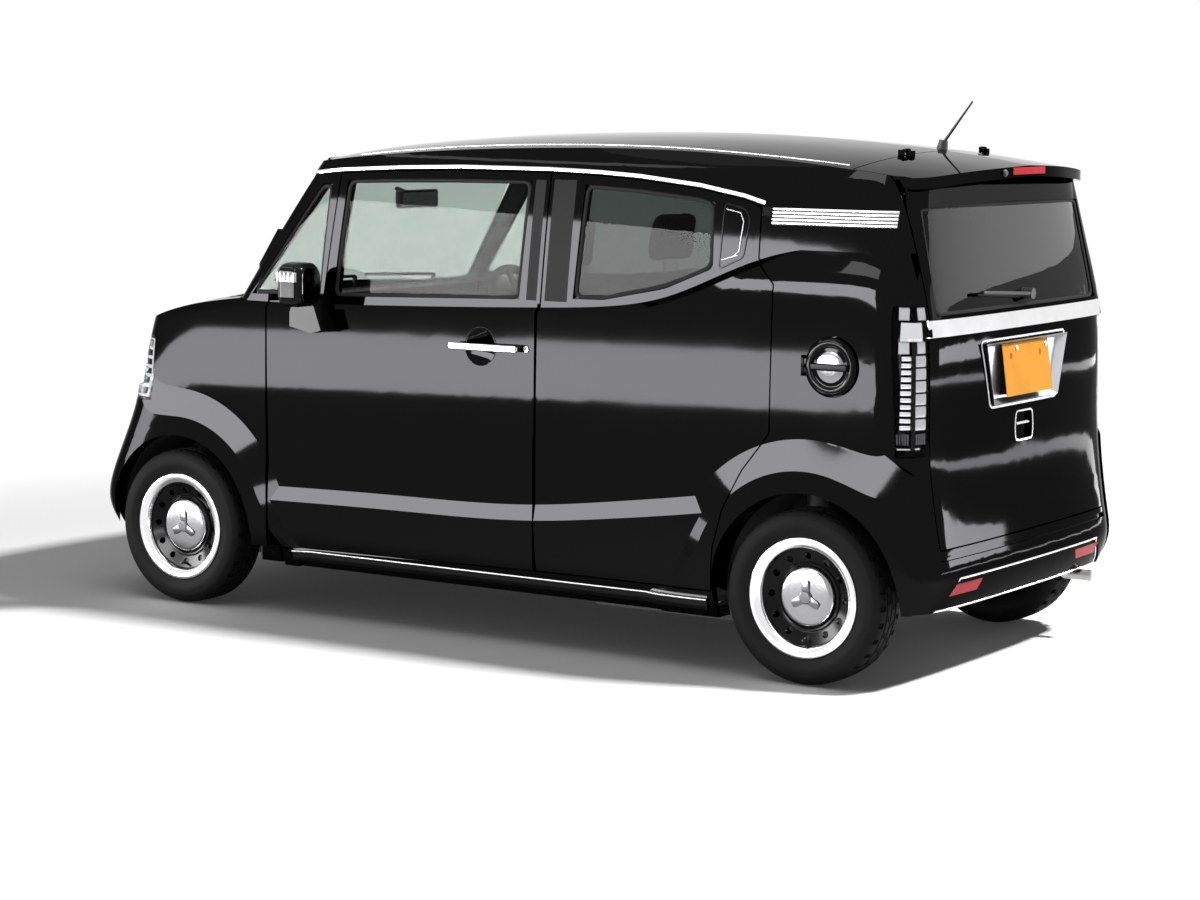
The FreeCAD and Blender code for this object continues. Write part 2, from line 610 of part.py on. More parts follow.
bracket.rotate(Vector(plateX, 0, plateZ), Vector(0, 1, 0), size("plateLean"))
gate = gate.cut([rearPane, recess]).fuse(bracket)
LATCH = [(-1, 726), (52, 726), (58, 760), (52, 808), (-1, 808)]
latchDepth = 12
gate = gate.cut(prism(LATCH, "x", -1800, -1500).cut(lowerWall(latchDepth)))
gate = max(gate.Solids, key=lambda solid: solid.Volume)
gate = gate.cut(box(gateX - 14, FAR, gateY + 22, gateY + 42, 0, FAR))
gate = fused([gate, rod(7, (gateX, gateY, gateZ), (gateX, gateY + 22, gateZ)),
              box(gateX - 22, gateX, gateY, gateY + 22, gateZ - 22, gateZ)])
gate = gate.cut(rod(gatePinR + fit, (gateX, gateY - 1, gateZ), (gateX, gateY + 30, gateZ)))
parts["tailgate"] = both(gate)
barHalf, barLow, barHigh, barProud, barRoom = 623, 1080, 1131, 12, 1.5
bar = lowerWall(-barProud).cut([lower[0.0], upper[0.0]])
bar = bar.common(box(-1760, -1500, 0, barHalf, barLow, barHigh))
overLamps = lowerWall(-barRoom).fuse(upperWall(-barRoom))
bar = bar.cut(overLamps.common(box(-FAR, 0, gateWide, FAR, 0, FAR)))
parts["tailgate_bar"] = both(max(bar.Solids, key=lambda solid: solid.Volume))
parts["tailgate_glass"] = both(upper[glassOut].cut(upper[glassIn]).common(rearPane))

# Tail lamps and rear bumper.

lamp = outer.common(lampZone).cut(tailgateOpening).cut(core(gateWall))
parts["tail_lamps"] = pair(max(lamp.Solids, key=lambda solid: solid.Volume))
rearBumper = outer.common(bumperZone).cut(lower[gateWall]).cut(tailgateOpening)
rearBumper = max(rearBumper.Solids, key=lambda solid: solid.Volume)
INSERT = [(-1, 340), (506, 340), (607, 240), (-1, 240)]
insertDepth = 9
hollows = prism(INSERT, "x", -1800, -1500).fuse(box(-1800, -1500, -1, 600, 405, 421))
parts["rear_bumper"] = both(rearBumper.cut(hollows.cut(lowerWall(insertDepth))))


# Floor, bulkhead, wheel housings and the beams behind the bumpers.

floorZ = size("floorBottom") + size("floorThickness")
rearFloor = size("rearFloorHeight")


def wheelhouse(axle, outerY, bottom):
    """Half a drum over the wheel, closed on its inner side."""
    drum = rod(wellR, (axle, wellY - 12, tyreRadius), (axle, outerY, tyreRadius))
    hollow = rod(archRadius, (axle, wellY, tyreRadius), (axle, outerY, tyreRadius))
    return drum.cut(hollow).common(box(-FAR, FAR, 0, FAR, bottom, FAR))


floor = fused([
    box(-920, bulkX, 0, cabinY, size("floorBottom"), floorZ),
    box(-920, -900, 0, cabinY, floorZ, rearFloor),
    box(-1600, -900, 0, cabinY, rearFloor, rearFloor + 25),
    box(bulkX - 20, bulkX, 0, cabinY, floorZ, 1050),
])
apron = box(bulkX - 20, 1378, bonnetSide, cabinY, 900, 1300)
apron = apron.fuse(box(bonnetX + 2, 1378, cabinY, bonnetSide + 34, 900, 1300)).common(frontCore)
frontBeam = box(1500, FAR, 0, 560, 440, 500).common(bumperCore).cut([frontDrum, plateHole])
rearBeam = box(-FAR, -1580, 0, 560, rearFloor, 425).common(lower[gateWall])
postY = bonnetSide - 34
bonnetPost = [box(bonnetX - 7, bonnetX + 7, postY, bonnetSide, 1000, 1014),
              box(bonnetX - 7, bonnetX + 7, postY, postY + 8, 1000, bonnetPinZ),
              rod(bonnetPinR, (bonnetX, postY - 28, bonnetPinZ), (bonnetX, postY + 8, bonnetPinZ)),
              rod(7, (bonnetX, postY, bonnetPinZ), (bonnetX, postY + 8, bonnetPinZ))]
floor = floor.cut([rearDrum, frontDrum])
rail = box(bulkX - 20, 1560, 330, 385, 360, 440)
noseCore = bumperCore
frontHouse = wheelhouse(frontAxle, skinY, 190).common(noseCore)
pan = fused([floor, rail.common(noseCore), frontBeam, rearBeam, apron] + bonnetPost)
parts["front_wheelhouses"] = pair(frontHouse)
parts["rear_wheelhouses"] = pair(wheelhouse(rearAxle, cabinY, rearFloor))
parts["floor_pan"] = both(max(pan.Solids, key=lambda solid: solid.Volume))

# Cowl: the panel between the bonnet and the windscreen, and its wipers.

cowlPlan = [(bulkX - 20, -1)] + [(bonnetX + x - gap - 3, y) for x, y in REAR_EDGE[:3]]
cowlPlan += [(bonnetX - 14, bonnetSide - gap), (bulkX - 20, bonnetSide - gap)]
cowl = prism(cowlPlan, "z", 1050, 1200).common(hoodSolid(12))
cowl = cowl.cut([upper[0.0], box(0, FAR, bonnetSide - gap - 1, FAR, 0, FAR),
                 box(bonnetX - 18, FAR, bonnetSide - 72, FAR, 0, FAR)])
cowl = max(cowl.Solids, key=lambda solid: solid.Volume)
WIPERS = (((1082, -60, 1124), (1064, 420, 1136)), ((1080, -540, 1110), (1086, -130, 1128)))
wiperPivots = [rod(9, (x, y, 1080), (x, y, z)) for (x, y, z), tip in WIPERS]
parts["cowl"] = both(cowl).cut(wiperPivots)

# Wheels and tyres: profiles of distance outward and radius, turned about each axle.


def originPart(body, role):
    return next(f for f in body.Origin.OriginFeatures if f.Role == role)


def boundSketch(body, name, role):
    sketch = body.newObject("Sketcher::SketchObject", name)
    sketch.AttachmentSupport = [(originPart(body, role), "")]
    sketch.MapMode = "FlatFace"
    return sketch


def boundDistance(sketch, kind, place, expression):
    """Holds a point at a distance from the origin, or on the axis where that is zero."""
    value = float(sheet.evalExpression(expression))
    if value == 0:
        axis = -2 if kind == "DistanceX" else -1
        sketch.addConstraint(Sketcher.Constraint("PointOnObject", *place, axis))
        return
    row = sketch.addConstraint(Sketcher.Constraint(kind, -1, 1, *place, value))
    sketch.setExpression(f"Constraints[{row}]", expression)


def turnedBody(name, corners):
    """A body turned from a closed profile whose corners are held by expressions."""
    body = doc.addObject("PartDesign::Body", name)
    sketch = boundSketch(body, name + "_profile", "XY_Plane")
    points = [Vector(*(float(sheet.evalExpression(part)) for part in corner)) for corner in corners]
    for k, point in enumerate(points):
        sketch.addGeometry(Part.LineSegment(point, points[(k + 1) % len(points)]), False)
    for k, (outward, radius) in enumerate(corners):
        sketch.addConstraint(Sketcher.Constraint("Coincident", k, 2, (k + 1) % len(points), 1))
        boundDistance(sketch, "DistanceX", (k, 1), outward)
        boundDistance(sketch, "DistanceY", (k, 1), radius)
    turn = body.newObject("PartDesign::Revolution", name + "_turn")
    turn.Profile = sketch
    turn.ReferenceAxis = (sketch, ["H_Axis"])
    turn.Angle = 360
    return body


def vents(body, name):
    """Round air holes through the disc of a wheel."""
    sketch = boundSketch(body, name + "_vent", "YZ_Plane")
    circle = Part.Circle(Vector(size("ventCircle"), 0, 0), Vector(0, 0, 1), size("ventRadius"))
    sketch.addGeometry(circle, False)
    boundDistance(sketch, "DistanceX", (0, 3), "Sizes.ventCircle")
    boundDistance(sketch, "DistanceY", (0, 3), "0")
    row = sketch.addConstraint(Sketcher.Constraint("Radius", 0, size("ventRadius")))
    sketch.setExpression(f"Constraints[{row}]", "Sizes.ventRadius")
    doc.recompute()
    pocket = body.newObject("PartDesign::Pocket", name + "_hole")
    pocket.Profile = sketch
    pocket.Type = "ThroughAll"
    pocket.Midplane = True
    doc.recompute()
    pattern = body.newObject("PartDesign::PolarPattern", name + "_vents")
    pattern.Originals = [pocket]
    pattern.Axis = (originPart(body, "X_Axis"), [""])
    pattern.Angle = 360
    pattern.Occurrences = ventCount
    body.Tip = pattern


spindleR = size("spindleRadius")
ventCount = 12
BEAD = "(Sizes.tyreWidth - Sizes.rimWidth) / 2"
TYRE = [(f"{BEAD} + 8", "Sizes.rimRadius"), (BEAD, "Sizes.rimRadius + 8"),
        ("0", "Sizes.rimRadius + 45"), ("3", "Sizes.tyreRadius - 26"),
        ("14", "Sizes.tyreRadius - 6"), ("26", "Sizes.tyreRadius"),
        ("Sizes.tyreWidth - 26", "Sizes.tyreRadius"),
        ("Sizes.tyreWidth - 14", "Sizes.tyreRadius - 6"),
        ("Sizes.tyreWidth - 3", "Sizes.tyreRadius - 26"),
        ("Sizes.tyreWidth", "Sizes.rimRadius + 45"),
        (f"Sizes.tyreWidth - {BEAD}", "Sizes.rimRadius + 8"),
        (f"Sizes.tyreWidth - {BEAD} - 8", "Sizes.rimRadius")]
BORE = "Sizes.spindleRadius + Sizes.pinClearance"
WHEEL = [("8", "Sizes.rimRadius"), ("Sizes.rimWidth - 8", "Sizes.rimRadius"),
         ("Sizes.rimWidth", "Sizes.rimRadius + 8"), ("Sizes.rimWidth + 4", "Sizes.rimRadius + 5"),
         ("Sizes.rimWidth - 12", "Sizes.rimRadius - 22"), ("Sizes.rimWidth - 20", "150"),
         ("94", "112"), ("88", "78"), ("104", "62"), ("110", "40"), ("112", "0"), ("106", "0"),
         ("106", BORE), ("56", BORE), ("56", "50"), ("76", "58"), ("80", "110"),
         ("Sizes.rimWidth - 32", "142"), ("Sizes.rimWidth - 30", "Sizes.rimRadius - 8"),
         ("8", "Sizes.rimRadius - 8")]
AXLES = {"front": "Sizes.halfLength - Sizes.frontOverhang",
         "rear": "Sizes.rearOverhang - Sizes.halfLength"}


def place(node, base, axis=Vector(0, 0, 1), angle="0"):
    """Sets a node's place from expressions for X, Y and Z, and its turn about an axis."""
    node.Placement.Rotation = FreeCAD.Rotation(axis, 1)
    for letter, expression in zip("xyz", base):
        node.setExpression("Placement.Base." + letter, expression)
    node.setExpression("Placement.Rotation.Angle", angle)


for end, axleX in AXLES.items():
    for side, outward in (("left", 1), ("right", -1)):
        corner = f"{end}_{side}"
        tyre = turnedBody("tyre_" + corner, TYRE)
        place(tyre, (axleX, f"{outward} * (Sizes.track - Sizes.tyreWidth) / 2", "Sizes.tyreRadius"),
              angle=str(90 * outward))
        wheel = turnedBody("wheel_" + corner, WHEEL)
        vents(wheel, "wheel_" + corner)
        place(wheel, (axleX, f"{outward} * (Sizes.track - Sizes.rimWidth) / 2", "Sizes.tyreRadius"),
              angle=str(90 * outward))
        nodes["tyre_" + corner] = tyre
        nodes["wheel_" + corner] = wheel

# Front suspension and the knuckles that carry the front wheels.

kingY = size("kingpinY")
kingR = size("kingpinRadius")
strutY = size("strutY")
knuckleLow, knuckleHigh = tyreRadius - 90, tyreRadius + 90
knuckle = fused([rod(22, (frontAxle, kingY, knuckleLow), (frontAxle, kingY, knuckleHigh)),
                 rod(34, (frontAxle, kingY - 18, tyreRadius), (frontAxle, kingY + 24, tyreRadius)),
                 rod(spindleR, (frontAxle, kingY, tyreRadius), (frontAxle, wheelY + 40, tyreRadius))])
pinHoles = [rod(kingR + fit, (frontAxle, kingY, knuckleLow - 1), (frontAxle, kingY, knuckleLow + 32)),
            rod(kingR + fit, (frontAxle, kingY, knuckleHigh - 32), (frontAxle, kingY, knuckleHigh + 1))]
knuckle = knuckle.cut(pinHoles)
parts["knuckle_left"] = knuckle
parts["knuckle_right"] = mirrored(knuckle)
armLow = knuckleLow - 8
strut = rod(size("strutRadius"), (frontAxle, strutY, knuckleHigh - 10),
            (frontAxle, strutY, tyreRadius + archRadius + 20))
strut = strut.common(rod(archRadius, (frontAxle, 0, tyreRadius), (frontAxle, FAR, tyreRadius)))
suspension = fused([
    strut,
    box(frontAxle - 20, frontAxle + 20, strutY, kingY + 14, knuckleHigh + 1, knuckleHigh + 15),
    rod(kingR, (frontAxle, kingY, knuckleHigh - 28), (frontAxle, kingY, knuckleHigh + 8)),
])
lowerArm = fused([
    prism([(frontAxle - 90, 385), (frontAxle + 90, 385), (frontAxle + 24, kingY),
           (frontAxle - 24, kingY)], "z", armLow - 14, armLow),
    rod(24, (frontAxle, kingY, armLow - 14), (frontAxle, kingY, armLow)),
    rod(kingR, (frontAxle, kingY, armLow - 8), (frontAxle, kingY, knuckleLow + 28)),
])
crossMember = fused([box(frontAxle - 90, frontAxle + 90, -1, 386, armLow - 30, armLow + 16),
                     box(frontAxle - 40, frontAxle + 40, 330, 385, armLow, 360)])
lowHalf = fused([lowerArm, crossMember]).cut(box(-FAR, FAR, -FAR, 0, -FAR, FAR))
parts["front_suspension"] = Part.makeCompound([both(lowHalf), suspension, mirrored(suspension)])

# Rear axle: trailing arms joined by a beam, with springs and spindles.

beamR = size("beamRadius")
rearArm = fused([
    box(rearAxle - 40, -920, 470, 510, 236, 300),
    rod(beamR, (-1100, 0, 268), (-1100, 480, 268)),
    rod(42, (rearAxle, 490, tyreRadius), (rearAxle, 560, tyreRadius)),
    rod(spindleR, (rearAxle, 500, tyreRadius), (rearAxle, wheelY + 40, tyreRadius)),
    rod(36, (-1190, 490, 290), (-1190, 490, 640)).common(
        rod(archRadius, (rearAxle, 0, tyreRadius), (rearAxle, FAR, tyreRadius))),
])
parts["rear_axle"] = both(rearArm)

# Engine, exhaust and fuel tank under the floor.


def boundBox(name, sizes, base, **turn):
    """A plain box whose sizes and corner come from expressions."""
    node = doc.addObject("Part::Box", name)
    for side, expression in zip(("Length", "Width", "Height"), sizes):
        node.setExpression(side, expression)
    place(node, base, **turn)
    nodes[name] = node


boundBox("engine_block", ("Sizes.engineLength", "Sizes.engineWidth", "Sizes.engineHeight"),
         ("Sizes.engineX - Sizes.engineLength / 2", "-Sizes.engineWidth / 2", "Sizes.engineBottom"))
boundBox("fuel_tank", ("Sizes.tankLength", "Sizes.tankWidth", "Sizes.tankHeight"),
         ("Sizes.tankRear", "Sizes.tankY - Sizes.tankWidth / 2",
          "Sizes.floorBottom - Sizes.pipeClearance - Sizes.tankHeight"))
pipeR = size("exhaustRadius")
pipeZ = size("floorBottom") - pipeR - size("pipeClearance")
pipeY = size("exhaustY")
exhaust = fused([rod(pipeR, (1000, pipeY, pipeZ), (-990, pipeY, pipeZ)),
                 Part.makeSphere(pipeR, Vector(-990, pipeY, pipeZ)),
                 rod(pipeR, (-990, pipeY, pipeZ), (-1460, 0, 300)),
                 Part.makeSphere(pipeR, Vector(-1460, 0, 300)),
                 rod(70, (-1530, -300, 325), (-1530, 420, 325)),
                 rod(pipeR, (-1460, 0, 300), (-1530, 0, 320)),
                 rod(18, (-1530, -285, 310), (-1600, -470, 222)),
                 Part.makeSphere(18, Vector(-1600, -470, 222)),
                 rod(18, (-1600, -470, 222), (-1682, -490, 218))])
parts["exhaust"] = exhaust

# Cabin: dashboard, steering wheel, seats and mirror.

DASH = [(bulkX - 20, 640), (bulkX - 20, 1050), (800, 1060), (690, 1030), (640, 960), (670, 800),
        (760, 660)]
dash = prism(DASH, "y", -cabinY, cabinY)
tilt = math.radians(size("steeringWheelTilt"))
wheelAt = Vector(size("steeringWheelX"), size("steeringWheelY"), size("steeringWheelZ"))
along = Vector(-math.cos(tilt), 0, math.sin(tilt))
hubDeep, hubProud, shaftProud, spokeRadius = 34, 14, 2, 11
column = rod(size("columnRadius"), tuple(wheelAt - along * 320), tuple(wheelAt - along * 40))
shaft = rod(size("shaftRadius"), tuple(wheelAt - along * 60), tuple(wheelAt + along * shaftProud))
parts["dashboard"] = fused([dash, column, shaft])


def steeringWheel(name):
    """Rim, hub and three spokes on the column's shaft."""
    rim = doc.addObject("Part::Torus", name + "_rim")
    rim.setExpression("Radius1", "Sizes.steeringWheelRadius")
    rim.setExpression("Radius2", "Sizes.steeringRimRadius")
    hub = doc.addObject("Part::Cylinder", name + "_hub")
    hub.setExpression("Radius", "Sizes.hubRadius")
    hub.Height = hubDeep + hubProud
    hub.Placement.Base = Vector(0, 0, -hubDeep)
    pieces = [rim, hub]
    for angle in (0, 120, 240):
        spoke = doc.addObject("Part::Cylinder", f"{name}_spoke{angle}")
        spoke.Radius = spokeRadius
        spoke.setExpression("Height", "Sizes.steeringWheelRadius")
        flat = FreeCAD.Rotation(Vector(0, 1, 0), 90)
        spoke.Placement.Rotation = FreeCAD.Rotation(Vector(0, 0, 1), angle) * flat
        pieces.append(spoke)
    whole = doc.addObject("Part::MultiFuse", name + "_whole")
    whole.Shapes = pieces
    bore = doc.addObject("Part::Cylinder", name + "_bore")
    bore.setExpression("Radius", "Sizes.shaftRadius + Sizes.pinClearance")
    bore.Height = hubDeep + shaftProud + 2
    bore.Placement.Base = Vector(0, 0, -hubDeep - 1)
    node = doc.addObject("Part::Cut", name)
    node.Base = whole
    node.Tool = bore
    place(node, ("Sizes.steeringWheelX", "Sizes.steeringWheelY", "Sizes.steeringWheelZ"),
          axis=Vector(0, 1, 0), angle="Sizes.steeringWheelTilt - 90")
    nodes[name] = node


steeringWheel("steering_wheel")

seatY, seatW = size("seatY"), size("seatWidth")


def rounded(shape, radius):
    return shape.makeFillet(radius, shape.Edges)


def seat(x, middle, width, floorLevel, cushion, back, top):
    """Base, cushion, leaning back and head restraint, from the side."""
    y0, y1 = middle - width / 2, middle + width / 2
    base = box(x - 60, x + 330, y0 + 50, y1 - 50, floorLevel, cushion - 120)
    squab = rounded(prism([(x - 110, cushion - 130), (x + 410, cushion - 110),
                           (x + 410, cushion + 20), (x - 110, cushion)], "y", y0, y1), 28)
    rest = rounded(prism([(x - 120, cushion - 90), (x, cushion - 60), (x - 130, back),
                          (x - 230, back)], "y", y0, y1), 28)
    head = rounded(prism([(x - 145, back + 15), (x - 225, back + 15), (x - 245, top),
                          (x - 170, top)], "y", middle - 130, middle + 130), 24)
    stem = box(x - 190, x - 170, middle - 40, middle + 40, back - 40, back + 60)
    return fused([base, squab, rest, head, stem])


front = seat(size("frontSeatX"), seatY, seatW, floorZ, 620, 1190, 1390)
parts["front_seats"] = pair(front)
rearWidth = size("rearSeatWidth")
rear = seat(size("rearSeatX"), rearWidth / 2 + 10, rearWidth, floorZ, 640, 1150, 1330)
parts["rear_seats"] = pair(rear)
insideMirror = rounded(box(735, 762, -115, 115, 1385, 1450), 10)
stem = rod(8, (750, 0, 1425), (880, 0, 1464)).cut(parts["windscreen"])
stem = min(stem.Solids, key=lambda solid: solid.CenterOfMass.x)
parts["interior_mirror"] = fused([insideMirror, stem])

# Door mirrors and handles.

mirrorBody = rounded(box(580, 688, 748, 872, 1082, 1230), 34)
mirrorFoot = prism([(556, 1004), (596, 992), (690, 1012), (690, 1060), (660, 1120), (600, 1120)],
                   "y", 690, 790)
mirrorFoot = mirrorFoot.cut(outer)
doorMirror = fused([mirrorBody, mirrorFoot])
parts["door_mirror_left"] = doorMirror
parts["door_mirror_right"] = mirrored(doorMirror)
handleX, handleZ, handleL = size("handleX"), size("handleZ"), size("handleLength")
handleEnd = handleL / 2 - 20
gripOut = skinY + 22
handle = [rounded(box(handleX - handleL / 2, handleX + handleL / 2, gripOut, gripOut + 16,
                      handleZ - 12, handleZ + 12), 6)]
handle += [rod(8, (handleX + end, skinY - 40, handleZ), (handleX + end, gripOut + 8, handleZ))
           for end in (-handleEnd, handleEnd)]
handle = fused(handle).cut(outer)
handle = max(handle.Solids, key=lambda solid: solid.Volume)
parts["door_handle_left"] = handle
parts["door_handle_right"] = mirrored(handle)

# Fuel lid on the left quarter.

LID = [(0, -size("fuelLidThickness")), (lidR, -size("fuelLidThickness")), (lidR, 4), (lidR - 6, 8),
       (lidR - 12, 8), (lidR - 18, 3), (lidR - 26, 1), (lidR - 30, 6), (0, 12)]
lidFace = Part.Face(Part.makePolygon([Vector(r, y, 0) for r, y in LID + LID[:1]]))
lid = lidFace.revolve(Vector(0, 0, 0), Vector(0, 1, 0), 360)
lid.translate(Vector(lidAxis[0], skinY, lidAxis[1]))
lid = lid.fuse(rounded(box(lidAxis[0] - lidR + 24, lidAxis[0] + lidR - 24, skinY, skinY + 20,
                           lidAxis[1] - 11, lidAxis[1] + 11), 5))
lidKnuckles = []
for low, high in ((-22, -6), (6, 22)):
    lidKnuckles.append(rod(7.5, (lidHingeX, lidHingeY, lidAxis[1] + low),
                           (lidHingeX, lidHingeY, lidAxis[1] + high)))
    lidKnuckles.append(box(lidHingeX - 20, lidHingeX, lidHingeY - 3, lidHingeY + 4,
                           lidAxis[1] + low, lidAxis[1] + high))
lid = fused([lid] + lidKnuckles)
lid = lid.cut(rod(4 + fit, (lidHingeX, lidHingeY, lidAxis[1] - 30),
                  (lidHingeX, lidHingeY, lidAxis[1] + 30)))
parts["fuel_lid"] = lid

# Aerial on the roof, wipers and the rear plate.

LEAN = "Sizes.plateLean"
boundBox("number_plate", ("Sizes.plateThickness", "Sizes.plateWidth", "Sizes.plateHeight"),
         (f"Sizes.plateX - Sizes.plateThickness * cos({LEAN}) - Sizes.plateHeight / 2 * sin({LEAN})",
          "-Sizes.plateWidth / 2",
          f"Sizes.plateZ + Sizes.plateThickness * sin({LEAN}) - Sizes.plateHeight / 2 * cos({LEAN})"),
         axis=Vector(0, 1, 0), angle=LEAN)

aerialBase = Vector(size("antennaX"), size("antennaY"), 0)
aerial = fused([cone(22, 14, (aerialBase.x, aerialBase.y, 1600), (aerialBase.x - 10, aerialBase.y, 1655)),
                cone(5, 3, (aerialBase.x - 8, aerialBase.y, 1645),
                     (aerialBase.x - 110, aerialBase.y, 1780))]).cut(both(roof[0.0]))
parts["antenna"] = max(aerial.Solids, key=lambda solid: solid.Volume)
wiperPivot = rod(18, (-1600, -30, 1180), (-1662, -30, 1180)).cut(parts["tailgate_glass"])
wiperPivot = min(wiperPivot.Solids, key=lambda solid: solid.CenterOfMass.x)
wiperArm = rod(6, (-1656, -30, 1180), (-1646, 300, 1200))
parts["rear_wiper"] = fused([wiperPivot, wiperArm])
wipers = [pivot.fuse(rod(6, start, tip)) for pivot, (start, tip) in zip(wiperPivots, WIPERS)]
parts["front_wipers"] = Part.makeCompound(wipers)

for name, shape in parts.items():
    nodes[name] = doc.addObject("Part::Feature", name)
    nodes[name].Shape = shape
doc.recompute()
for name, node in nodes.items():
    node.Label = name
for item in doc.Objects:
    if "Invalid" in item.State or "Error" in item.State:
        raise RuntimeError(f"{item.Name} failed: {item.State}")
for name, node in nodes.items():
    if node.Shape.isNull() or not node.Shape.isValid():
        raise RuntimeError(f"{name} has no valid shape")
os.makedirs("parts", exist_ok=True)
for name, node in sorted(nodes.items()):
    node.Shape.exportStep("parts/" + name + ".step")
    print(name, len(node.Shape.Solids), round(node.Shape.Volume / 1e6, 3))
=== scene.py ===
import json
import math
from contextlib import contextmanager

import bmesh
import bpy
from mathutils import Matrix, Vector
from mathutils.bvhtree import BVHTree


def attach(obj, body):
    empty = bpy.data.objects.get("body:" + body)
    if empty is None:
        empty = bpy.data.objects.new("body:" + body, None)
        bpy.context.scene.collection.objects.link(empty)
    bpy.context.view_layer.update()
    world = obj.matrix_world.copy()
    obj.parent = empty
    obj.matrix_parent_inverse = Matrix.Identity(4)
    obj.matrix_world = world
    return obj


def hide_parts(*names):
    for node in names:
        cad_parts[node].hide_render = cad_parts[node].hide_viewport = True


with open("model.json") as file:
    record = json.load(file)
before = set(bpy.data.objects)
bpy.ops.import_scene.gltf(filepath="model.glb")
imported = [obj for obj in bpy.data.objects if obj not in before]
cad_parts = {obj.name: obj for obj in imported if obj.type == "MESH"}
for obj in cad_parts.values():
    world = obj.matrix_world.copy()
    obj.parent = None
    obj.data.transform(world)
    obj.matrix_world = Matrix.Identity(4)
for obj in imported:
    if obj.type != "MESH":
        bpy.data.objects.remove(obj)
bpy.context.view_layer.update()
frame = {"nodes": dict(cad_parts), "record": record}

nodes = frame["nodes"]
print("frame loaded", len(nodes), "nodes")


# Shader maths: a socket that can be added and multiplied.

class Wire:
    def __init__(self, graph, socket):
        self.graph, self.socket = graph, socket

    def math(self, operation, *others):
        return self.graph.node("ShaderNodeMath", {"operation": operation}, *others)

    def __add__(self, other): return self.math("ADD", self, other)
    def __radd__(self, other): return self.math("ADD", other, self)
    def __mul__(self, other): return self.math("MULTIPLY", self, other)


class Graph:
    # The node tree of a material or of the world
    def __init__(self, owner):
        owner.use_nodes = True
        self.owner, self.tree = owner, owner.node_tree

    def put(self, value, socket):
        if isinstance(value, Wire):
            self.tree.links.new(value.socket, socket)
        else:
            socket.default_value = value

    def node(self, kind, settings=None, *values, out=0, **named):
        made = self.tree.nodes.new(kind)
        for key, value in (settings or {}).items():
            setattr(made, key, value)
        for socket, value in zip(made.inputs, values):
            if value is not None:
                self.put(value, socket)
        self.fill(made, **named)
        return Wire(self, made.outputs[out])

    def fill(self, node, **named):
        for key, value in named.items():
            self.put(value, node.inputs[key.replace("_", " ")])

    def place(self, scale=(1, 1, 1)):
        spot = self.node("ShaderNodeTexCoord", out=3)
        return self.node("ShaderNodeMapping", None, Vector=spot, Scale=scale)

    def noise(self, scale, detail, where=None):
        return self.node("ShaderNodeTexNoise", None, Vector=where or self.place(), Scale=scale,
                         Detail=detail)

    def mix(self, factor, low, high):
        return self.node("ShaderNodeMix", {"data_type": "RGBA"}, factor, *[None] * 5, low, high, out=2)

    def bump(self, height, strength, distance):
        return self.node("ShaderNodeBump", None, Height=height, Strength=strength, Distance=distance)

    def seen(self):
        # 1 or more for what the camera sees, straight, mirrored or through glass
        rays = self.tree.nodes.new("ShaderNodeLightPath").outputs
        camera, glossy, through = (Wire(self, rays[f"Is {kind} Ray"]) for kind in
                                   ("Camera", "Glossy", "Transmission"))
        return camera + glossy + through

    def finish(self, **named):
        self.fill(self.tree.nodes["Principled BSDF"], **named)
        return self.owner


def surface(name):
    return Graph(bpy.data.materials.new(name))


def rgb(red, green=None, blue=None):
    return (red, red if green is None else green, red if blue is None else blue, 1)


def shade(tint, share):
    return rgb(*[tone * share for tone in tint])


# Materials.

def makePaint():
    paint = surface("gloss black paint")
    flake, haze, peel = paint.noise(1800, 2), paint.noise(2.5, 5), paint.noise(260, 2)
    return paint.finish(
        Base_Color=paint.mix(flake, rgb(0.0068, 0.0068, 0.007), rgb(0.0086, 0.0086, 0.0089)),
        Metallic=1.0, Specular_Tint=rgb(0.5), Roughness=haze * 0.04 + 0.02,
        Normal=paint.bump(peel, 0.01, 0.0004))


def makeGlass(name, tint, bend):
    glass = surface(name)
    smear = glass.noise(4, 4)
    return glass.finish(
        Base_Color=glass.mix(smear, shade(tint, 0.94), rgb(*tint)),
        Roughness=smear * 0.02 + 0.005, Transmission_Weight=1.0, IOR=bend)


def makeChrome():
    chrome = surface("polished chrome")
    smear = chrome.noise(14, 5)
    return chrome.finish(
        Base_Color=chrome.mix(smear, rgb(0.78, 0.78, 0.79), rgb(0.9, 0.9, 0.91)),
        Metallic=1.0, Roughness=smear * 0.08 + 0.04)


def makeSatin(name, dark, light, rough):
    satin = surface(name)
    grain = satin.noise(40, 6, satin.place(scale=(1, 30, 30)))
    return satin.finish(
        Base_Color=satin.mix(grain, rgb(*dark), rgb(*light)),
        Metallic=1.0, Roughness=grain * 0.14 + rough, Normal=satin.bump(grain, 0.05, 0.0003))


def makePlastic(name, tone, rough, grainScale=900, grainDepth=0.25, shine=0.4):
    plastic = surface(name)
    grain, wear = plastic.noise(grainScale, 3), plastic.noise(9, 5)
    return plastic.finish(
        Base_Color=plastic.mix(wear, shade(tone, 0.8), shade(tone, 1.25)), Roughness=rough + wear * 0.1,
        Specular_IOR_Level=shine, Normal=plastic.bump(grain, grainDepth, 0.0004))


def makeRubber():
    rubber = surface("tyre rubber")
    grain, dust = rubber.noise(700, 4), rubber.noise(7, 6)
    return rubber.finish(
        Base_Color=rubber.mix(dust, rgb(0.006), rgb(0.013, 0.0127, 0.0122)),
        Roughness=0.55 + dust * 0.2, Normal=rubber.bump(grain, 0.2, 0.0005), Specular_IOR_Level=0.05)


def makeMetal(name, dark, light, rough):
    metal = surface(name)
    cast, stain = metal.noise(160, 6), metal.noise(6, 5)
    return metal.finish(
        Base_Color=metal.mix(stain, rgb(*dark), rgb(*light)), Metallic=1.0,
        Roughness=rough + stain * 0.2, Normal=metal.bump(cast, 0.3, 0.0008))


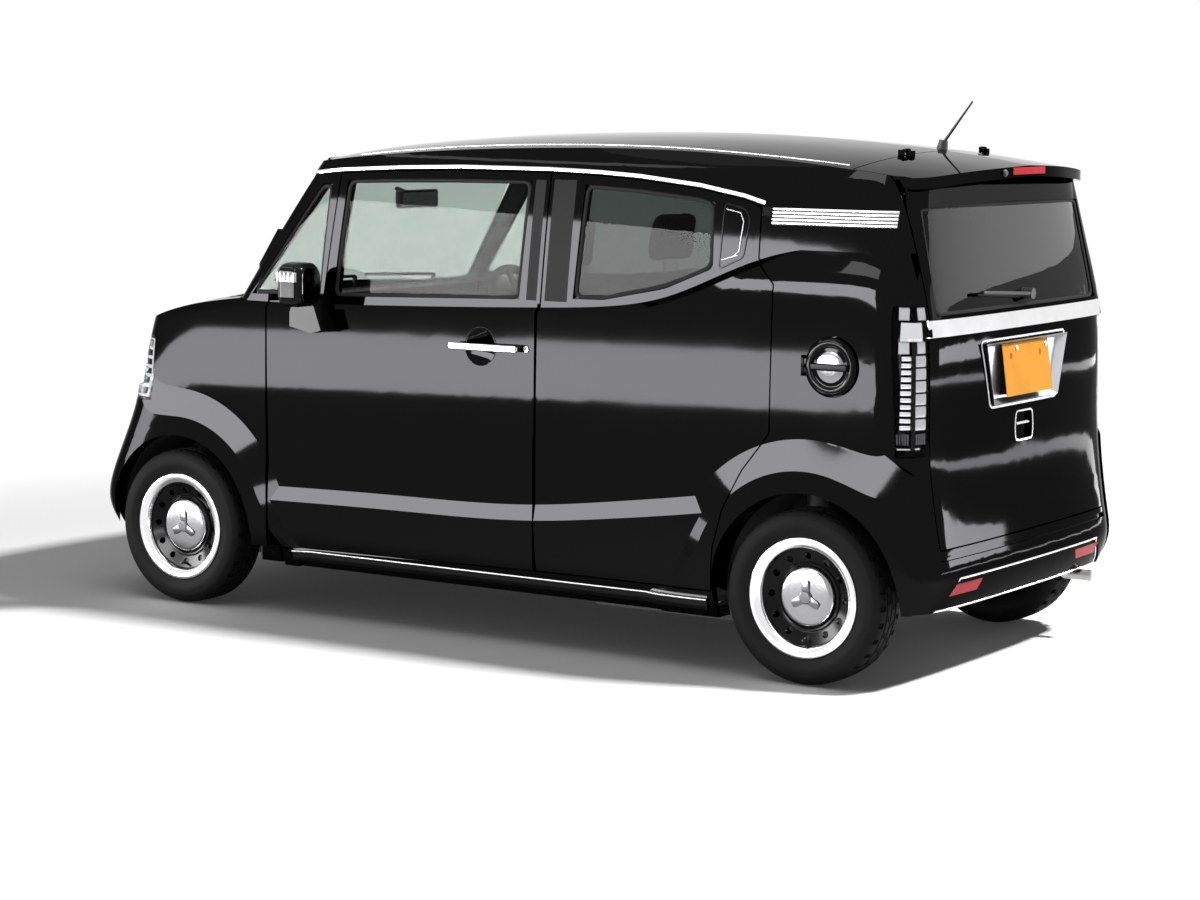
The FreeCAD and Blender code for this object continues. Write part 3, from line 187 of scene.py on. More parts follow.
def makeCloth():
    cloth = surface("seat cloth")
    across, along = (cloth.node("ShaderNodeTexWave", {"wave_type": "BANDS", "bands_direction": way},
                                Vector=cloth.place(), Scale=260.0, Distortion=1.0) for way in "XZ")
    weave = across * 0.5 + along * 0.5
    fuzz = cloth.noise(30, 5)
    return cloth.finish(
        Base_Color=cloth.mix(weave * 0.6 + fuzz * 0.4, rgb(0.03, 0.03, 0.032), rgb(0.1, 0.1, 0.105)),
        Roughness=0.9, Sheen_Weight=0.25, Normal=cloth.bump(weave, 0.35, 0.0008))


def makeLamp(name, tint, coat=0.6, shine=0.5):
    lamp = surface(name)
    smear = lamp.noise(30, 3)
    return lamp.finish(
        Base_Color=lamp.mix(smear, shade(tint, 0.85), rgb(*tint)), Roughness=smear * 0.05 + 0.05,
        Coat_Weight=coat, Specular_IOR_Level=shine)


paint = makePaint()
clearGlass = makeGlass("pale green glass", (0.6, 0.66, 0.63), 1.13)
darkGlass = makeGlass("privacy glass", (0.085, 0.095, 0.09), 1.13)
lampGlass = makeGlass("lamp cover", (0.86, 0.87, 0.88), 1.12)
darkMirror = makeSatin("dark mirror", (0.03, 0.03, 0.032), (0.045, 0.045, 0.048), 0.02)
chrome = makeChrome()
satin = makeSatin("satin metal", (0.5, 0.5, 0.51), (0.66, 0.66, 0.67), 0.2)
blackGloss = makePlastic("black gloss plastic", (0.004, 0.004, 0.0045), 0.06, 500, 0.02, 0.12)
blackTrim = makePlastic("black grained plastic", (0.018, 0.018, 0.019), 0.5)
seal = makePlastic("window seal", (0.008, 0.008, 0.008), 0.6, 600, 0.15, 0.1)
rubber = makeRubber()
cast = makeMetal("cast iron", (0.06, 0.06, 0.06), (0.14, 0.13, 0.125), 0.55)
steel = makeMetal("exhaust steel", (0.28, 0.27, 0.26), (0.45, 0.44, 0.43), 0.3)
underbody = makePlastic("underbody coating", (0.02, 0.02, 0.021), 0.65, 300, 0.5)
wheelBlack = makePlastic("black wheel enamel", (0.004, 0.004, 0.004), 0.1, 500, 0.05, 0.1)
cloth = makeCloth()
redLens = makeLamp("red lens", (0.3, 0.01, 0.016), 0.03, 0.06)
clearLens = makeLamp("clear lens", (0.62, 0.63, 0.64))
platePaint = makePlastic("orange plate enamel", (0.4, 0.165, 0.01), 0.35, 700, 0.05, 0.03)
brushed = makeSatin("brushed cap metal", (0.22, 0.22, 0.225), (0.34, 0.34, 0.345), 0.1)
silver = makeSatin("silver recess lacquer", (0.42, 0.42, 0.43), (0.55, 0.55, 0.56), 0.3)
smoked = makeSatin("smoked metal", (0.1, 0.1, 0.105), (0.17, 0.17, 0.175), 0.16)
pillarFilm = makePlastic("satin pillar film", (0.03, 0.029, 0.031), 0.4, 900, 0.06, 0.04)
thread = makePlastic("seam thread", (0.09, 0.09, 0.095), 0.8, 1500, 0.4, 0.1)
dial = makePlastic("dial face", (0.05, 0.055, 0.06), 0.3, 500, 0.05)
print("materials made")

cadFinish = {
    "paint": paint, "clear_glass": clearGlass, "dark_glass": darkGlass, "black_gloss": blackGloss,
    "chrome": chrome, "cast": cast, "lamp": lampGlass, "underbody": underbody, "trim": blackTrim,
    "cast_block": cast, "steel": steel, "cloth": cloth, "plate": platePaint, "tyre": rubber,
    "wheel_steel": wheelBlack,
}
for part in frame["record"]["subparts"]:
    mesh = nodes[part["node"]].data
    mesh.materials.clear()
    mesh.materials.append(cadFinish[part["material_slot"]])


# The camera stands at the car's left rear quarter.

view = {
    "place": (-5.5812, 8.3632, 1.8054), "yaw": -56.5, "pitch": -7.04, "roll": 0.37, "lens": 87.22,
    "sensor": 36, "sight": 200,
}


def aimCamera():
    yaw, pitch, roll = (math.radians(view[key]) for key in ("yaw", "pitch", "roll"))
    forward = Vector((math.cos(pitch) * math.cos(yaw), math.cos(pitch) * math.sin(yaw), math.sin(pitch)))
    right = forward.cross(Vector((0, 0, 1))).normalized()
    up = right.cross(forward)
    rightRolled = right * math.cos(roll) + up * math.sin(roll)
    upRolled = up * math.cos(roll) - right * math.sin(roll)
    data = bpy.data.cameras.new("photo camera")
    data.lens, data.sensor_width, data.clip_end = view["lens"], view["sensor"], view["sight"]
    camera = bpy.data.objects.new("photo camera", data)
    turned = Matrix((rightRolled, upRolled, -forward)).transposed().to_4x4()
    camera.matrix_world = Matrix.Translation(view["place"]) @ turned
    bpy.context.scene.collection.objects.link(camera)
    bpy.context.scene.camera = camera


studio = {
    "floorSize": 60, "floorTone": (0.81, 0.83), "floorGlow": 0.02, "nearReach": (2.9, 4.4),
    "worldLight": 0.115,
    "lamps": (  # name, place, aim, size across, size along, watts
        ("overhead softbox", (-0.6, 2.0, 5.6), (-0.2, 0.3, 0.6), 6.0, 3.0, 62),
        ("key softbox", (-6.5, -1.4, 8.4), (0, 0, 0.3), 0.9, 0.9, 1900),
    ),
    "cards": (  # soft boxes that only the gloss shows: name, place, aim, size across, size along, radiance
        ("low flank card", (5.85, 7.33, 0.37), (0.5, 0.72, 0.37), 11.0, 0.6, 28),
        ("upper flank card", (6.6, 8.0, 2.75), (0.4, 0.72, 0.5), 14.0, 1.7, 36),
        ("quarter card", (0.3, 5.4, 4.7), (-1.4, 0.68, 1.25), 2.2, 1.6, 10),
        ("roof edge card", (4.4, 3.4, 5.6), (-0.1, 0.61, 1.6), 5.0, 0.5, 6),
        ("low tail card", (-6.6, -8.6, 0.1), (-1.64, 0.2, 0.5), 9.0, 0.1, 26),
        ("upper tail card", (-7.2, -7.8, 0.72), (-1.64, 0.5, 0.9), 2.2, 0.44, 42),
        ("hatch card", (-5.4, -7.6, 2.6), (-1.6, 0.2, 1.3), 7.0, 0.9, 4),
    ),
}


def softbox(name, place, aim, across, along, watts):
    data = bpy.data.lights.new(name, "AREA")
    data.shape, data.size, data.size_y, data.energy = "RECTANGLE", across, along, watts
    lamp = bpy.data.objects.new(name, data)
    lamp.location = place
    lamp.rotation_euler = (Vector(aim) - Vector(place)).to_track_quat("-Z", "Y").to_euler()
    lamp.visible_camera = False
    bpy.context.scene.collection.objects.link(lamp)
    return lamp


def buildFloor():
    # The floor takes shadows near the car and is plain white to the camera farther off
    floor = surface("pale studio floor")
    dust = floor.noise(1.5, 4)
    dark, light = studio["floorTone"]
    near, far = studio["nearReach"]
    floor.finish(Base_Color=floor.mix(dust, rgb(dark), rgb(light)), Roughness=0.9, Specular_IOR_Level=0.1)
    seen = floor.seen()
    spot = floor.node("ShaderNodeVectorMath", {"operation": "LENGTH"}, floor.place(), out=1)
    distant = floor.node("ShaderNodeMapRange", None, Value=spot, From_Min=near, From_Max=far)
    white = floor.node("ShaderNodeEmission", None, Color=rgb(1.0), Strength=1.0)
    matt = Wire(floor, floor.tree.nodes["Principled BSDF"].outputs[0])
    mixed = floor.node("ShaderNodeMixShader", None, distant * seen, matt, white)
    glow = floor.node("ShaderNodeEmission", None, Color=rgb(1.0), Strength=seen * studio["floorGlow"])
    total = floor.node("ShaderNodeAddShader", None, mixed, glow)
    floor.put(total, floor.tree.nodes["Material Output"].inputs["Surface"])
    plane = bmesh.new()
    bmesh.ops.create_grid(plane, x_segments=1, y_segments=1, size=studio["floorSize"] / 2)
    mesh = bpy.data.meshes.new("studio floor")
    plane.to_mesh(mesh)
    plane.free()
    mesh.materials.append(floor.owner)
    ground = bpy.data.objects.new("studio_floor", mesh)
    bpy.context.scene.collection.objects.link(ground)


def buildLight():
    for lamp in studio["lamps"]:
        softbox(*lamp)
    for name, place, aim, across, along, radiance in studio["cards"]:
        card = softbox(name, place, aim, across, along, radiance * math.pi * across * along)
        card.visible_diffuse = card.visible_transmission = False
    sky = Graph(bpy.data.worlds.new("plain world"))
    strength = sky.node("ShaderNodeMapRange", None, Value=sky.seen(), To_Min=studio["worldLight"])
    sky.fill(sky.tree.nodes["Background"], Strength=strength, Color=rgb(1.0))
    bpy.context.scene.world = sky.owner
    bpy.context.scene.view_settings.view_transform = "Standard"


aimCamera()
buildFloor()
buildLight()
print("studio set")


# Shared modelling helpers. A skin is the surface of some nodes; places are points on it, each with
# the way out of the skin there.

def skinOf(*names):
    points, faces = [], []
    for name in names:
        mesh = nodes[name].data
        start = len(points)
        points += [vertex.co.copy() for vertex in mesh.vertices]
        faces += [[start + index for index in face.vertices] for face in mesh.polygons]
    return BVHTree.FromPolygons(points, faces)


def struck(skin, start, direction, lift=0.0, reach=9.0):
    # One place where a ray meets the skin, or none
    point, normal, face, far = skin.ray_cast(Vector(start), Vector(direction), reach)
    if point is None:
        return []
    out = normal if normal.dot(Vector(direction)) < 0 else -normal
    return [(point + out * lift, out)]


def carried(places, start):
    if len(places) < 2:
        raise ValueError(f"nothing carries a piece at {start}")
    return places


def caster(direction, place):
    # Carries an outline, as seen from one side of the car, to the skin; rays past an edge are left out
    def carry(skin, outline, lift=0.0, step=None, closed=False):
        starts = [place(*spot) for spot in spaced(outline, step, closed)]
        return carried([hit for start in starts for hit in struck(skin, start, direction, lift)], starts[0])
    return carry


fromLeft = caster((0, -1, 0), lambda x, z: (x, 1.2, z))
fromBehind = caster((1, 0, 0), lambda y, z: (-2.5, y, z))
fromFront = caster((-1, 0, 0), lambda y, z: (2.5, y, z))
fromAbove = caster((0, 0, -1), lambda x, y: (x, y, 2.5))


def wrapped(skin, middle, angles, z, lift, reach=0.6):
    # Round a corner of the car at one height: rays run inwards to the middle from each bearing
    places = []
    for angle in angles:
        out = Vector((math.cos(math.radians(angle)), math.sin(math.radians(angle)), 0))
        places += struck(skin, Vector((*middle, z)) + out * reach, -out, lift, reach)
    return carried(places, (*middle, z))


def upright(skin, middle, angle, heights, lift):
    return [wrapped(skin, middle, (angle, angle + 0.5), z, lift)[0] for z in heights]


def spread(first, last, count):
    return [first + (last - first) * i / (count - 1) for i in range(count)]


def middles(low, high, count):
    return [low + (high - low) * (i + 0.5) / count for i in range(count)]


def spaced(outline, step, closed):
    # Points at even steps along straight runs, so that a bead follows the curved skin
    if not step:
        return outline
    ends = [*outline[1:], *(outline[:1] if closed else ())]
    made = []
    for (a, b), (c, d) in zip(outline, ends):
        count = max(1, round(math.hypot(c - a, d - b) / step))
        made += [(a + (c - a) * i / count, b + (d - b) * i / count) for i in range(count)]
    return made if closed else made + [outline[-1]]


def rectangle(left, right, low, high):
    return [(left, low), (right, low), (right, high), (left, high)]


def circle(a, b, radius, count):
    return [(a + radius * math.cos(i * math.tau / count), b + radius * math.sin(i * math.tau / count))
            for i in range(count)]


def softCorners(outline, radius, steps=4):
    # Rounds each corner of a closed outline with a short arc
    made = []
    for index, corner in enumerate(outline):
        here = Vector(corner)
        before, after = Vector(outline[index - 1]), Vector(outline[(index + 1) % len(outline)])
        reach = min(radius, (before - here).length * 0.45, (after - here).length * 0.45)
        start = here + (before - here).normalized() * reach
        end = here + (after - here).normalized() * reach
        for i in range(steps + 1):
            t = i / steps
            made.append(tuple(start * (1 - t) ** 2 + here * 2 * t * (1 - t) + end * t ** 2))
    return made


def sweep(build, places, width, height, corners=8, closed=False):
    # A bead: its width lies along the surface, its height stands out of it
    rings = []
    last = len(places) - 1
    for index, (point, normal) in enumerate(places):
        before = places[index - 1][0] if index or closed else point
        after = places[(index + 1) % len(places)][0] if index < last or closed else point
        along = (after - before).normalized()
        across = normal.cross(along).normalized()
        out = along.cross(across)
        turn = Matrix((across, out, along)).transposed().to_4x4()
        squash = Matrix.Diagonal((width, height, 1, 1)) @ Matrix.Rotation(math.pi / corners, 4, "Z")
        ring = bmesh.ops.create_circle(build, segments=corners, radius=0.5 / math.cos(math.pi / corners),
                                       matrix=Matrix.Translation(point) @ turn @ squash)["verts"]
        rings.append(list({edge for vert in ring for edge in vert.link_edges}))
    for first, second in zip(rings, rings[1:] + (rings[:1] if closed else [])):
        bmesh.ops.bridge_loops(build, edges=first + second)
    if not closed:
        bmesh.ops.edgenet_fill(build, edges=rings[0])
        bmesh.ops.edgenet_fill(build, edges=rings[-1])


def bead(build, carry, skin, outline, lift, step, width, height, closed=False, corners=8):
    sweep(build, carry(skin, outline, lift, step, closed), width, height, corners, closed)


def turned(build, profile, centre, steps, axis=(0, 1, 0), up=(0, 0, 1), closed=True):
    # Spins a profile of (distance along the axis, radius) about the axis
    axis, up, centre = Vector(axis), Vector(up), Vector(centre)
    verts = [build.verts.new(centre + axis * far + up * radius) for far, radius in profile]
    ends = verts[1:] + (verts[:1] if closed else [])
    edges = [build.edges.new(two) for two in zip(verts, ends)]
    bmesh.ops.spin(build, geom=verts + edges, cent=centre, axis=axis, angle=math.tau, steps=steps,
                   use_merge=True)
    bmesh.ops.remove_doubles(build, verts=build.verts, dist=0.00002)


def rounded(build, edges, radius, segments):
    bmesh.ops.bevel(build, geom=edges, offset=radius, affect="EDGES", segments=segments, profile=0.5,
                    material=-1, clamp_overlap=True)


def plate(build, corners, depth, out, bevel=0.0, segments=2):
    # A flat piece from its corner points, given a thickness along out
    face = build.faces.new([build.verts.new(corner) for corner in corners])
    lifted = bmesh.ops.extrude_face_region(build, geom=[face])["geom"]
    bmesh.ops.translate(build, verts=[item for item in lifted if isinstance(item, bmesh.types.BMVert)],
                        vec=Vector(out).normalized() * depth)
    if bevel:
        bmesh.ops.recalc_face_normals(build, faces=build.faces)
        rounded(build, [edge for edge in build.edges if edge.is_manifold], bevel, segments)


def block(build, low, high, bevel, segments):
    low, high = Vector(low), Vector(high)
    place = Matrix.Translation((low + high) / 2) @ Matrix.Diagonal((*(high - low), 1))
    verts = bmesh.ops.create_cube(build, size=1, matrix=place)["verts"]
    rounded(build, list({edge for vert in verts for edge in vert.link_edges}), bevel, segments)


def panel(build, places, thickness):
    # A skin-tight patch: the rows of places become faces, then get a thickness
    rows = [[build.verts.new(point) for point, normal in row] for row in places]
    edges = [[build.edges.new(two) for two in zip(row, row[1:])] for row in rows]
    for first, second in zip(edges, edges[1:]):
        bmesh.ops.bridge_loops(build, edges=first + second)
    bmesh.ops.recalc_face_normals(build, faces=build.faces)
    bmesh.ops.solidify(build, geom=build.faces[:], thickness=thickness)


slotOf = {material.name: slot for slot, material in reversed(cadFinish.items())}
slotOf.update({"satin metal": "chrome", "brushed cap metal": "chrome", "silver recess lacquer": "chrome",
               "smoked metal": "chrome", "dark mirror": "chrome", "window seal": "trim",
               "satin pillar film": "trim", "dial face": "trim", "seam thread": "cloth",
               "red lens": "lamp", "clear lens": "lamp"})


def piece(build, name, material, body, replaces=(), smooth=35):
    bmesh.ops.recalc_face_normals(build, faces=build.faces)
    mesh = bpy.data.meshes.new(name)
    build.to_mesh(mesh)
    build.free()
    mesh.materials.append(material)
    mesh.shade_smooth()
    mesh.set_sharp_from_angle(angle=math.radians(smooth))
    made = bpy.data.objects.new(name, mesh)
    bpy.context.scene.collection.objects.link(made)
    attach(made, body)
    if replaces:
        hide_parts(*replaces)
    return made


def bothSides(build, name, material, body="body", replaces=(), smooth=35):
    # The left piece, and its mirrored twin on the right
    twin = build.copy()
    bmesh.ops.scale(twin, vec=(1, -1, 1), verts=twin.verts)
    bmesh.ops.reverse_faces(twin, faces=twin.faces)
    return [piece(shape, f"{name}_{side}", material, body if body == "body" else f"{body}_{side}",
                  replaces, smooth) for shape, side in ((build, "left"), (twin, "right"))]


@contextmanager
def single(name, material, body, **more):
    build = bmesh.new()
    yield build
    piece(build, name, material, body, **more)


@contextmanager
def pair(name, material, body="body", **more):
    build = bmesh.new()
    yield build
    bothSides(build, name, material, body, **more)


# Wheels: tyre with tread, chrome trim ring, centre cap with a three-eared spinner, valve.

wheel = {
    "frontX": 1.2525, "rearX": -1.2675, "middleY": 0.6525, "radius": 0.272, "steps": 96,
    # Cross grooves: depth, wall, the crown's least radius, reach across, and where the rows meet
    "groove": 0.006, "wall": 0.0006, "crown": 0.2662, "reach": 0.061, "row": 0.0225,
    # Profiles: outward distance from the wheel's middle, and radius
    "tyre": ((-0.056, 0.178), (-0.064, 0.184), (-0.0705, 0.195), (-0.0765, 0.215), (-0.0775, 0.228),
             (-0.075, 0.243), (-0.069, 0.257), (-0.062, 0.2655), (-0.053, 0.27), (-0.03, 0.2716),
             (-0.0292, 0.2656), (-0.0228, 0.2656), (-0.022, 0.2719), (-0.0032, 0.272),
             (-0.003, 0.2658), (0.003, 0.2658), (0.0032, 0.272), (0.022, 0.2719), (0.0228, 0.2656),
             (0.0292, 0.2656), (0.03, 0.2716), (0.053, 0.27), (0.062, 0.2655), (0.069, 0.257),
             (0.0732, 0.248), (0.0744, 0.2455), (0.075, 0.243), (0.0775, 0.228), (0.0772, 0.216),
             (0.0764, 0.214), (0.0758, 0.2115), (0.0725, 0.199), (0.0712, 0.1965), (0.0706, 0.194),
             (0.0655, 0.1855), (0.056, 0.178)),
    "trim_ring": ((0.064, 0.1868), (0.0685, 0.188), (0.0718, 0.1868), (0.0735, 0.1832), (0.0738, 0.1775),
                  (0.0722, 0.1705), (0.069, 0.1635), (0.0655, 0.159), (0.0648, 0.1572),
                  (0.06, 0.1545), (0.052, 0.1515), (0.0505, 0.1535), (0.06, 0.16)),
    "cap_seat": ((0.028, 0.108), (0.0325, 0.1078), (0.0352, 0.105), (0.0345, 0.1005), (0.031, 0.0975),
                 (0.029, 0.096), (0.025, 0.096), (0.025, 0.106)),
    "wheel_cap": ((0.027, 0.0955), (0.035, 0.0935), (0.041, 0.0905), (0.0438, 0.086),
                  (0.0452, 0.078), (0.0468, 0.055), (0.0478, 0.03), (0.0482, 0.0)),
    "boss": ((0.046, 0.022), (0.0545, 0.0205), (0.0575, 0.0175), (0.058, 0.0)),
    "valve": ((0.0, 0.0045), (0.016, 0.0042), (0.017, 0.0034), (0.024, 0.0034), (0.0255, 0.0)),
    # Spinner: an ear's outline, foot, thickness and bevel; then the valve's foot
    "ear": ((-0.0145, 0.004), (-0.0128, 0.03), (-0.012, 0.046), (-0.008, 0.0525), (0.008, 0.0525),
            (0.012, 0.046), (0.0128, 0.03), (0.0145, 0.004)),
    "earFoot": 0.0465, "earDepth": 0.0065, "earBevel": 0.0012, "valveFoot": (0.04, -0.132),
}


def corner(end, side):
    sign = 1 if side == "left" else -1
    return Vector((wheel[end + "X"], sign * wheel["middleY"], wheel["radius"])), Vector((0, sign, 0))


def buildTyre(end, side):
    centre, axis = corner(end, side)
    body = f"wheel_{end}_{side}"
    with single(f"tyre_with_tread_{end}_{side}", rubber, body, replaces=[f"tyre_{end}_{side}"]) as build:
        turned(build, wheel["tyre"], centre, wheel["steps"], axis, closed=False)
        bmesh.ops.recalc_face_normals(build, faces=build.faces)
        cross = []
        for face in build.faces:
            spot = face.calc_center_median() - centre
            far = spot.dot(axis)
            column = int((math.atan2(spot.x, spot.z) / math.tau + 0.5) * wheel["steps"])
            row = 1 if far > wheel["row"] or -wheel["row"] < far < 0 else 0
            onCrown = (spot - axis * far).length > wheel["crown"] and abs(far) < wheel["reach"]
            if onCrown and (column + row) % 3 == 0:
                cross.append(face)
        bmesh.ops.inset_individual(build, faces=cross, thickness=wheel["wall"], depth=-wheel["groove"])


def buildWheelTrim(end, side):
    centre, axis = corner(end, side)
    body = f"wheel_{end}_{side}"
    for name, finish, steps, closed, smooth in (("trim_ring", chrome, wheel["steps"], True, 50),
                                                ("cap_seat", blackGloss, 64, True, 35),
                                                ("wheel_cap", brushed, 64, False, 50)):
        with single(f"{name}_{end}_{side}", finish, body, smooth=smooth) as build:
            turned(build, wheel[name], centre, steps, axis, closed=closed)
    with single(f"spinner_{end}_{side}", smoked, body) as build:
        foot = centre + axis * wheel["earFoot"]
        for ear in range(3):
            turn = Matrix.Rotation(ear * math.tau / 3, 3, axis)
            outline = [foot + turn @ Vector((x, 0, z)) for x, z in wheel["ear"]]
            plate(build, outline, wheel["earDepth"], axis)
        bmesh.ops.recalc_face_normals(build, faces=build.faces)
        rounded(build, build.edges[:], wheel["earBevel"], 2)
        turned(build, wheel["boss"], centre, 48, axis, closed=False)
    with single(f"tyre_valve_{end}_{side}", blackTrim, body) as build:
        out, up = wheel["valveFoot"]
        turned(build, wheel["valve"], centre + axis * out + Vector((0, 0, up)), 16, axis, closed=False)


for end in ("front", "rear"):
    for side in ("left", "right"):
        buildTyre(end, side)
        buildWheelTrim(end, side)
print("wheels dressed")


# Bright strips and bars along the side of the roof, and the sill. The satin line on the roof's edge and the
# satin line on the sill are painted highlights.
# Here and below, a bead is its lift off the skin, step between rings, width and height.

sideTrim = {
    "dripLine": ((0.716, 1.525), (0.586, 1.537), (0.344, 1.549), (0.098, 1.556), (-0.26, 1.555),
                 (-0.454, 1.549), (-0.606, 1.54), (-0.831, 1.517), (-0.997, 1.488), (-1.072, 1.468)),
    "dripBead": (0.001, 0.04, 0.012, 0.006),
    # The roof line is a painted highlight: its outline as seen from above
    "roofHighlightLine": ((0.56, 0.56), (0.4, 0.54), (0.24, 0.52), (-0.1, 0.512), (-0.37, 0.52),
                 (-0.66, 0.536), (-0.9, 0.551), (-1.15, 0.56), (-1.32, 0.562)),
    "roofHighlightBead": (0.0005, 0.05, 0.005, 0.003),
    "bar": (-1.064, -1.528, 1.403, 1.456), "barDepth": 0.003, "ribs": 5, "ribShift": 0.004,
    "ribBead": (0.004, 0.05, 0.007, 0.004),
    "sill": (0.8, -0.925), "coverZ": 0.224, "coverOut": 0.004, "coverSize": (0.05, 0.012),
    # The sill line is a painted highlight: its offset out and up from the cover, and its size
    "sillHighlightOut": 0.0105, "sillHighlightUp": 0.008, "sillHighlightSize": (0.004, 0.003),
}


def buildSideTrim():
    skin = skinOf("body_side_left", "roof_panel", "tailgate")
    with pair("drip_strip", chrome) as build:
        bead(build, fromLeft, skin, sideTrim["dripLine"], *sideTrim["dripBead"])
    # Painted highlight: a bright satin bead along the roof's edge
    with pair("roof_highlight_line", satin) as build:
        bead(build, fromAbove, skinOf("roof_panel"), sideTrim["roofHighlightLine"], *sideTrim["roofHighlightBead"])
    front, rear, low, high = sideTrim["bar"]
    with pair("quarter_bar", blackGloss) as build:
        rows = [fromLeft(skin, [(front, z), (rear, z)], 0.0008, 0.04) for z in spread(low, high, 5)]
        panel(build, rows, sideTrim["barDepth"])
    with pair("quarter_bar_ribs", chrome) as build:
        ends = front + sideTrim["ribShift"], rear + sideTrim["ribShift"]
        for z in middles(low, high, sideTrim["ribs"]):
            bead(build, fromLeft, skin, [(x, z) for x in ends], *sideTrim["ribBead"])
    line = [(x, sideTrim["coverZ"]) for x in sideTrim["sill"]]
    run = [(point + Vector((0, sideTrim["coverOut"], 0)), Vector((0, 1, 0))) for point, normal in
           fromLeft(skinOf("body_side_left"), line, 0.0, 0.06)]
    with pair("sill_cover", blackGloss) as build:
        sweep(build, run, *sideTrim["coverSize"], corners=12)
    # Painted highlight: a bright satin bead along the sill cover's outer face, near its top
    with pair("sill_highlight_line", satin) as build:
        shift = Vector((0, sideTrim["sillHighlightOut"], sideTrim["sillHighlightUp"]))
        sweep(build, [(point + shift, normal) for point, normal in run], *sideTrim["sillHighlightSize"])


buildSideTrim()


# Window seals, and the lines round the rear door's hidden handle.

windows = {
    "front_door": ((0.582, 1.112), (0.56, 1.502), (0.345, 1.512), (0.098, 1.518), (-0.196, 1.516),
                   (-0.184, 1.136)),
    "rear_door": ((-0.392, 1.146), (-0.404, 1.51), (-0.607, 1.502), (-0.832, 1.48), (-0.892, 1.465),
                  (-0.905, 1.262), (-0.735, 1.192), (-0.509, 1.148)),
    "quarter": ((0.636, 1.114), (0.626, 1.488), (0.668, 1.488), (0.942, 1.106)),
    "hatch": ((-0.572, 1.142), (-0.56, 1.462), (0.56, 1.47), (0.572, 1.142)),
    "sealBead": (0.0, 0.04, 0.015, 0.009), "sealRadius": 0.03, "sealInset": 0.009,
    "handleLines": (((-0.936, 1.446), (-0.988, 1.436), (-1.002, 1.41), (-0.994, 1.318), (-0.97, 1.298)),
                    ((-0.934, 1.29), (-0.99, 1.306))),
    "lineBead": (0.001, 0.02, 0.0045, 0.004),
    "handlePad": ((-0.93, 1.464), (-0.926, 1.262), (-1.01, 1.3), (-1.024, 1.42), (-1.000, 1.45)),
    "padRadius": 0.015, "padBead": (0.0, 0.02, 0.006, 0.005),
}


def laySeal(build, name, glass, carry):
    # The bead lies on the glass, a few millimetres inside the window's edge
    outline = [Vector(corner) for corner in windows[name]]
    middle = sum(outline, Vector((0, 0))) / len(outline)
    drawn = [corner + (middle - corner).normalized() * windows["sealInset"] for corner in outline]
    line = softCorners(drawn, windows["sealRadius"])
    bead(build, carry, skinOf(glass), line, *windows["sealBead"], closed=True)


def buildWindowTrim():
    for name, glass, body in (("front_door", "front_door_glass_left", "front_door"),
                              ("rear_door", "rear_door_glass_left", "rear_door"),
                              ("quarter", "quarter_windows", "body")):
        with pair(name + "_seal", seal, body) as build:
            laySeal(build, name, glass, fromLeft)
    with single("hatch_seal", seal, "tailgate") as build:
        laySeal(build, "hatch", "tailgate_glass", fromBehind)
    skin = skinOf("rear_door_left", "rear_door_glass_left")
    with pair("hidden_handle_lines", smoked, "rear_door") as build:
        for line in windows["handleLines"]:
            bead(build, fromLeft, skin, line, *windows["lineBead"])
    with pair("hidden_handle_edge", blackGloss, "rear_door") as build:
        pad = softCorners(windows["handlePad"], windows["padRadius"])
        bead(build, fromLeft, skin, pad, *windows["padBead"], closed=True)


buildWindowTrim()
print("side trim and seals made")


# Door mirrors: indicator lens with chrome ribs behind it, and the mirror glass.

doorMirror = {
    "lens": (0.596, 0.686, 1.168, 1.2), "lensDepth": 0.003, "ribs": 5, "ribInset": 0.003,
    "ribBead": (0.0034, None, 0.004, 0.0024),
    "glass": (0.766, 0.858, 1.098, 1.214), "glassX": 0.5785, "glassRadius": 0.03, "glassDepth": 0.003,
    "glassBevel": 0.0008,
}


def buildDoorMirror():
    skin = skinOf("door_mirror_left")
    rear, fore, low, high = doorMirror["lens"]
    with pair("mirror_indicator", clearLens, "front_door") as build:
        rows = [fromLeft(skin, [(rear, z), (fore, z)], 0.0006, 0.01) for z in spread(low, high, 5)]
        panel(build, rows, doorMirror["lensDepth"])
    with pair("mirror_indicator_ribs", chrome, "front_door") as build:
        inset = doorMirror["ribInset"]
        for x in middles(rear, fore, doorMirror["ribs"]):
            bead(build, fromLeft, skin, [(x, low + inset), (x, high - inset)], *doorMirror["ribBead"])
    with pair("mirror_glass", darkMirror, "front_door") as build:
        corners = softCorners(rectangle(*doorMirror["glass"]), doorMirror["glassRadius"])
        plate(build, [(doorMirror["glassX"], y, z) for y, z in corners], doorMirror["glassDepth"],
              (-1, 0, 0), doorMirror["glassBevel"])


# Front door handles: the lock, and a rim round the grip's recess.

doorHandle = {
    "lock": (-0.231, 1.2, 0.978), "bowl": (-0.05, 0.978, 0.0625, 48),
    "lockProfile": ((-0.002, 0.011), (0.003, 0.011), (0.0045, 0.0095), (0.0045, 0.0065), (0.003, 0.0055),
                    (0.003, 0.0)),
    "bowlBead": (0.0004, None, 0.0025, 0.0018),
}


def buildHandleTrim():
    skin = skinOf("front_door_left")
    with pair("door_lock", chrome, "front_door") as build:
        point, normal = struck(skin, doorHandle["lock"], (0, -1, 0))[0]
        turned(build, doorHandle["lockProfile"], point, 32, closed=False)
    with pair("grip_recess_rim", blackGloss, "front_door") as build:
        bead(build, fromLeft, skin, circle(*doorHandle["bowl"]), *doorHandle["bowlBead"], closed=True)


buildDoorMirror()
buildHandleTrim()
print("mirrors and handles dressed")


# Fuel cap: chrome rings round a black dish, and the bar across it.

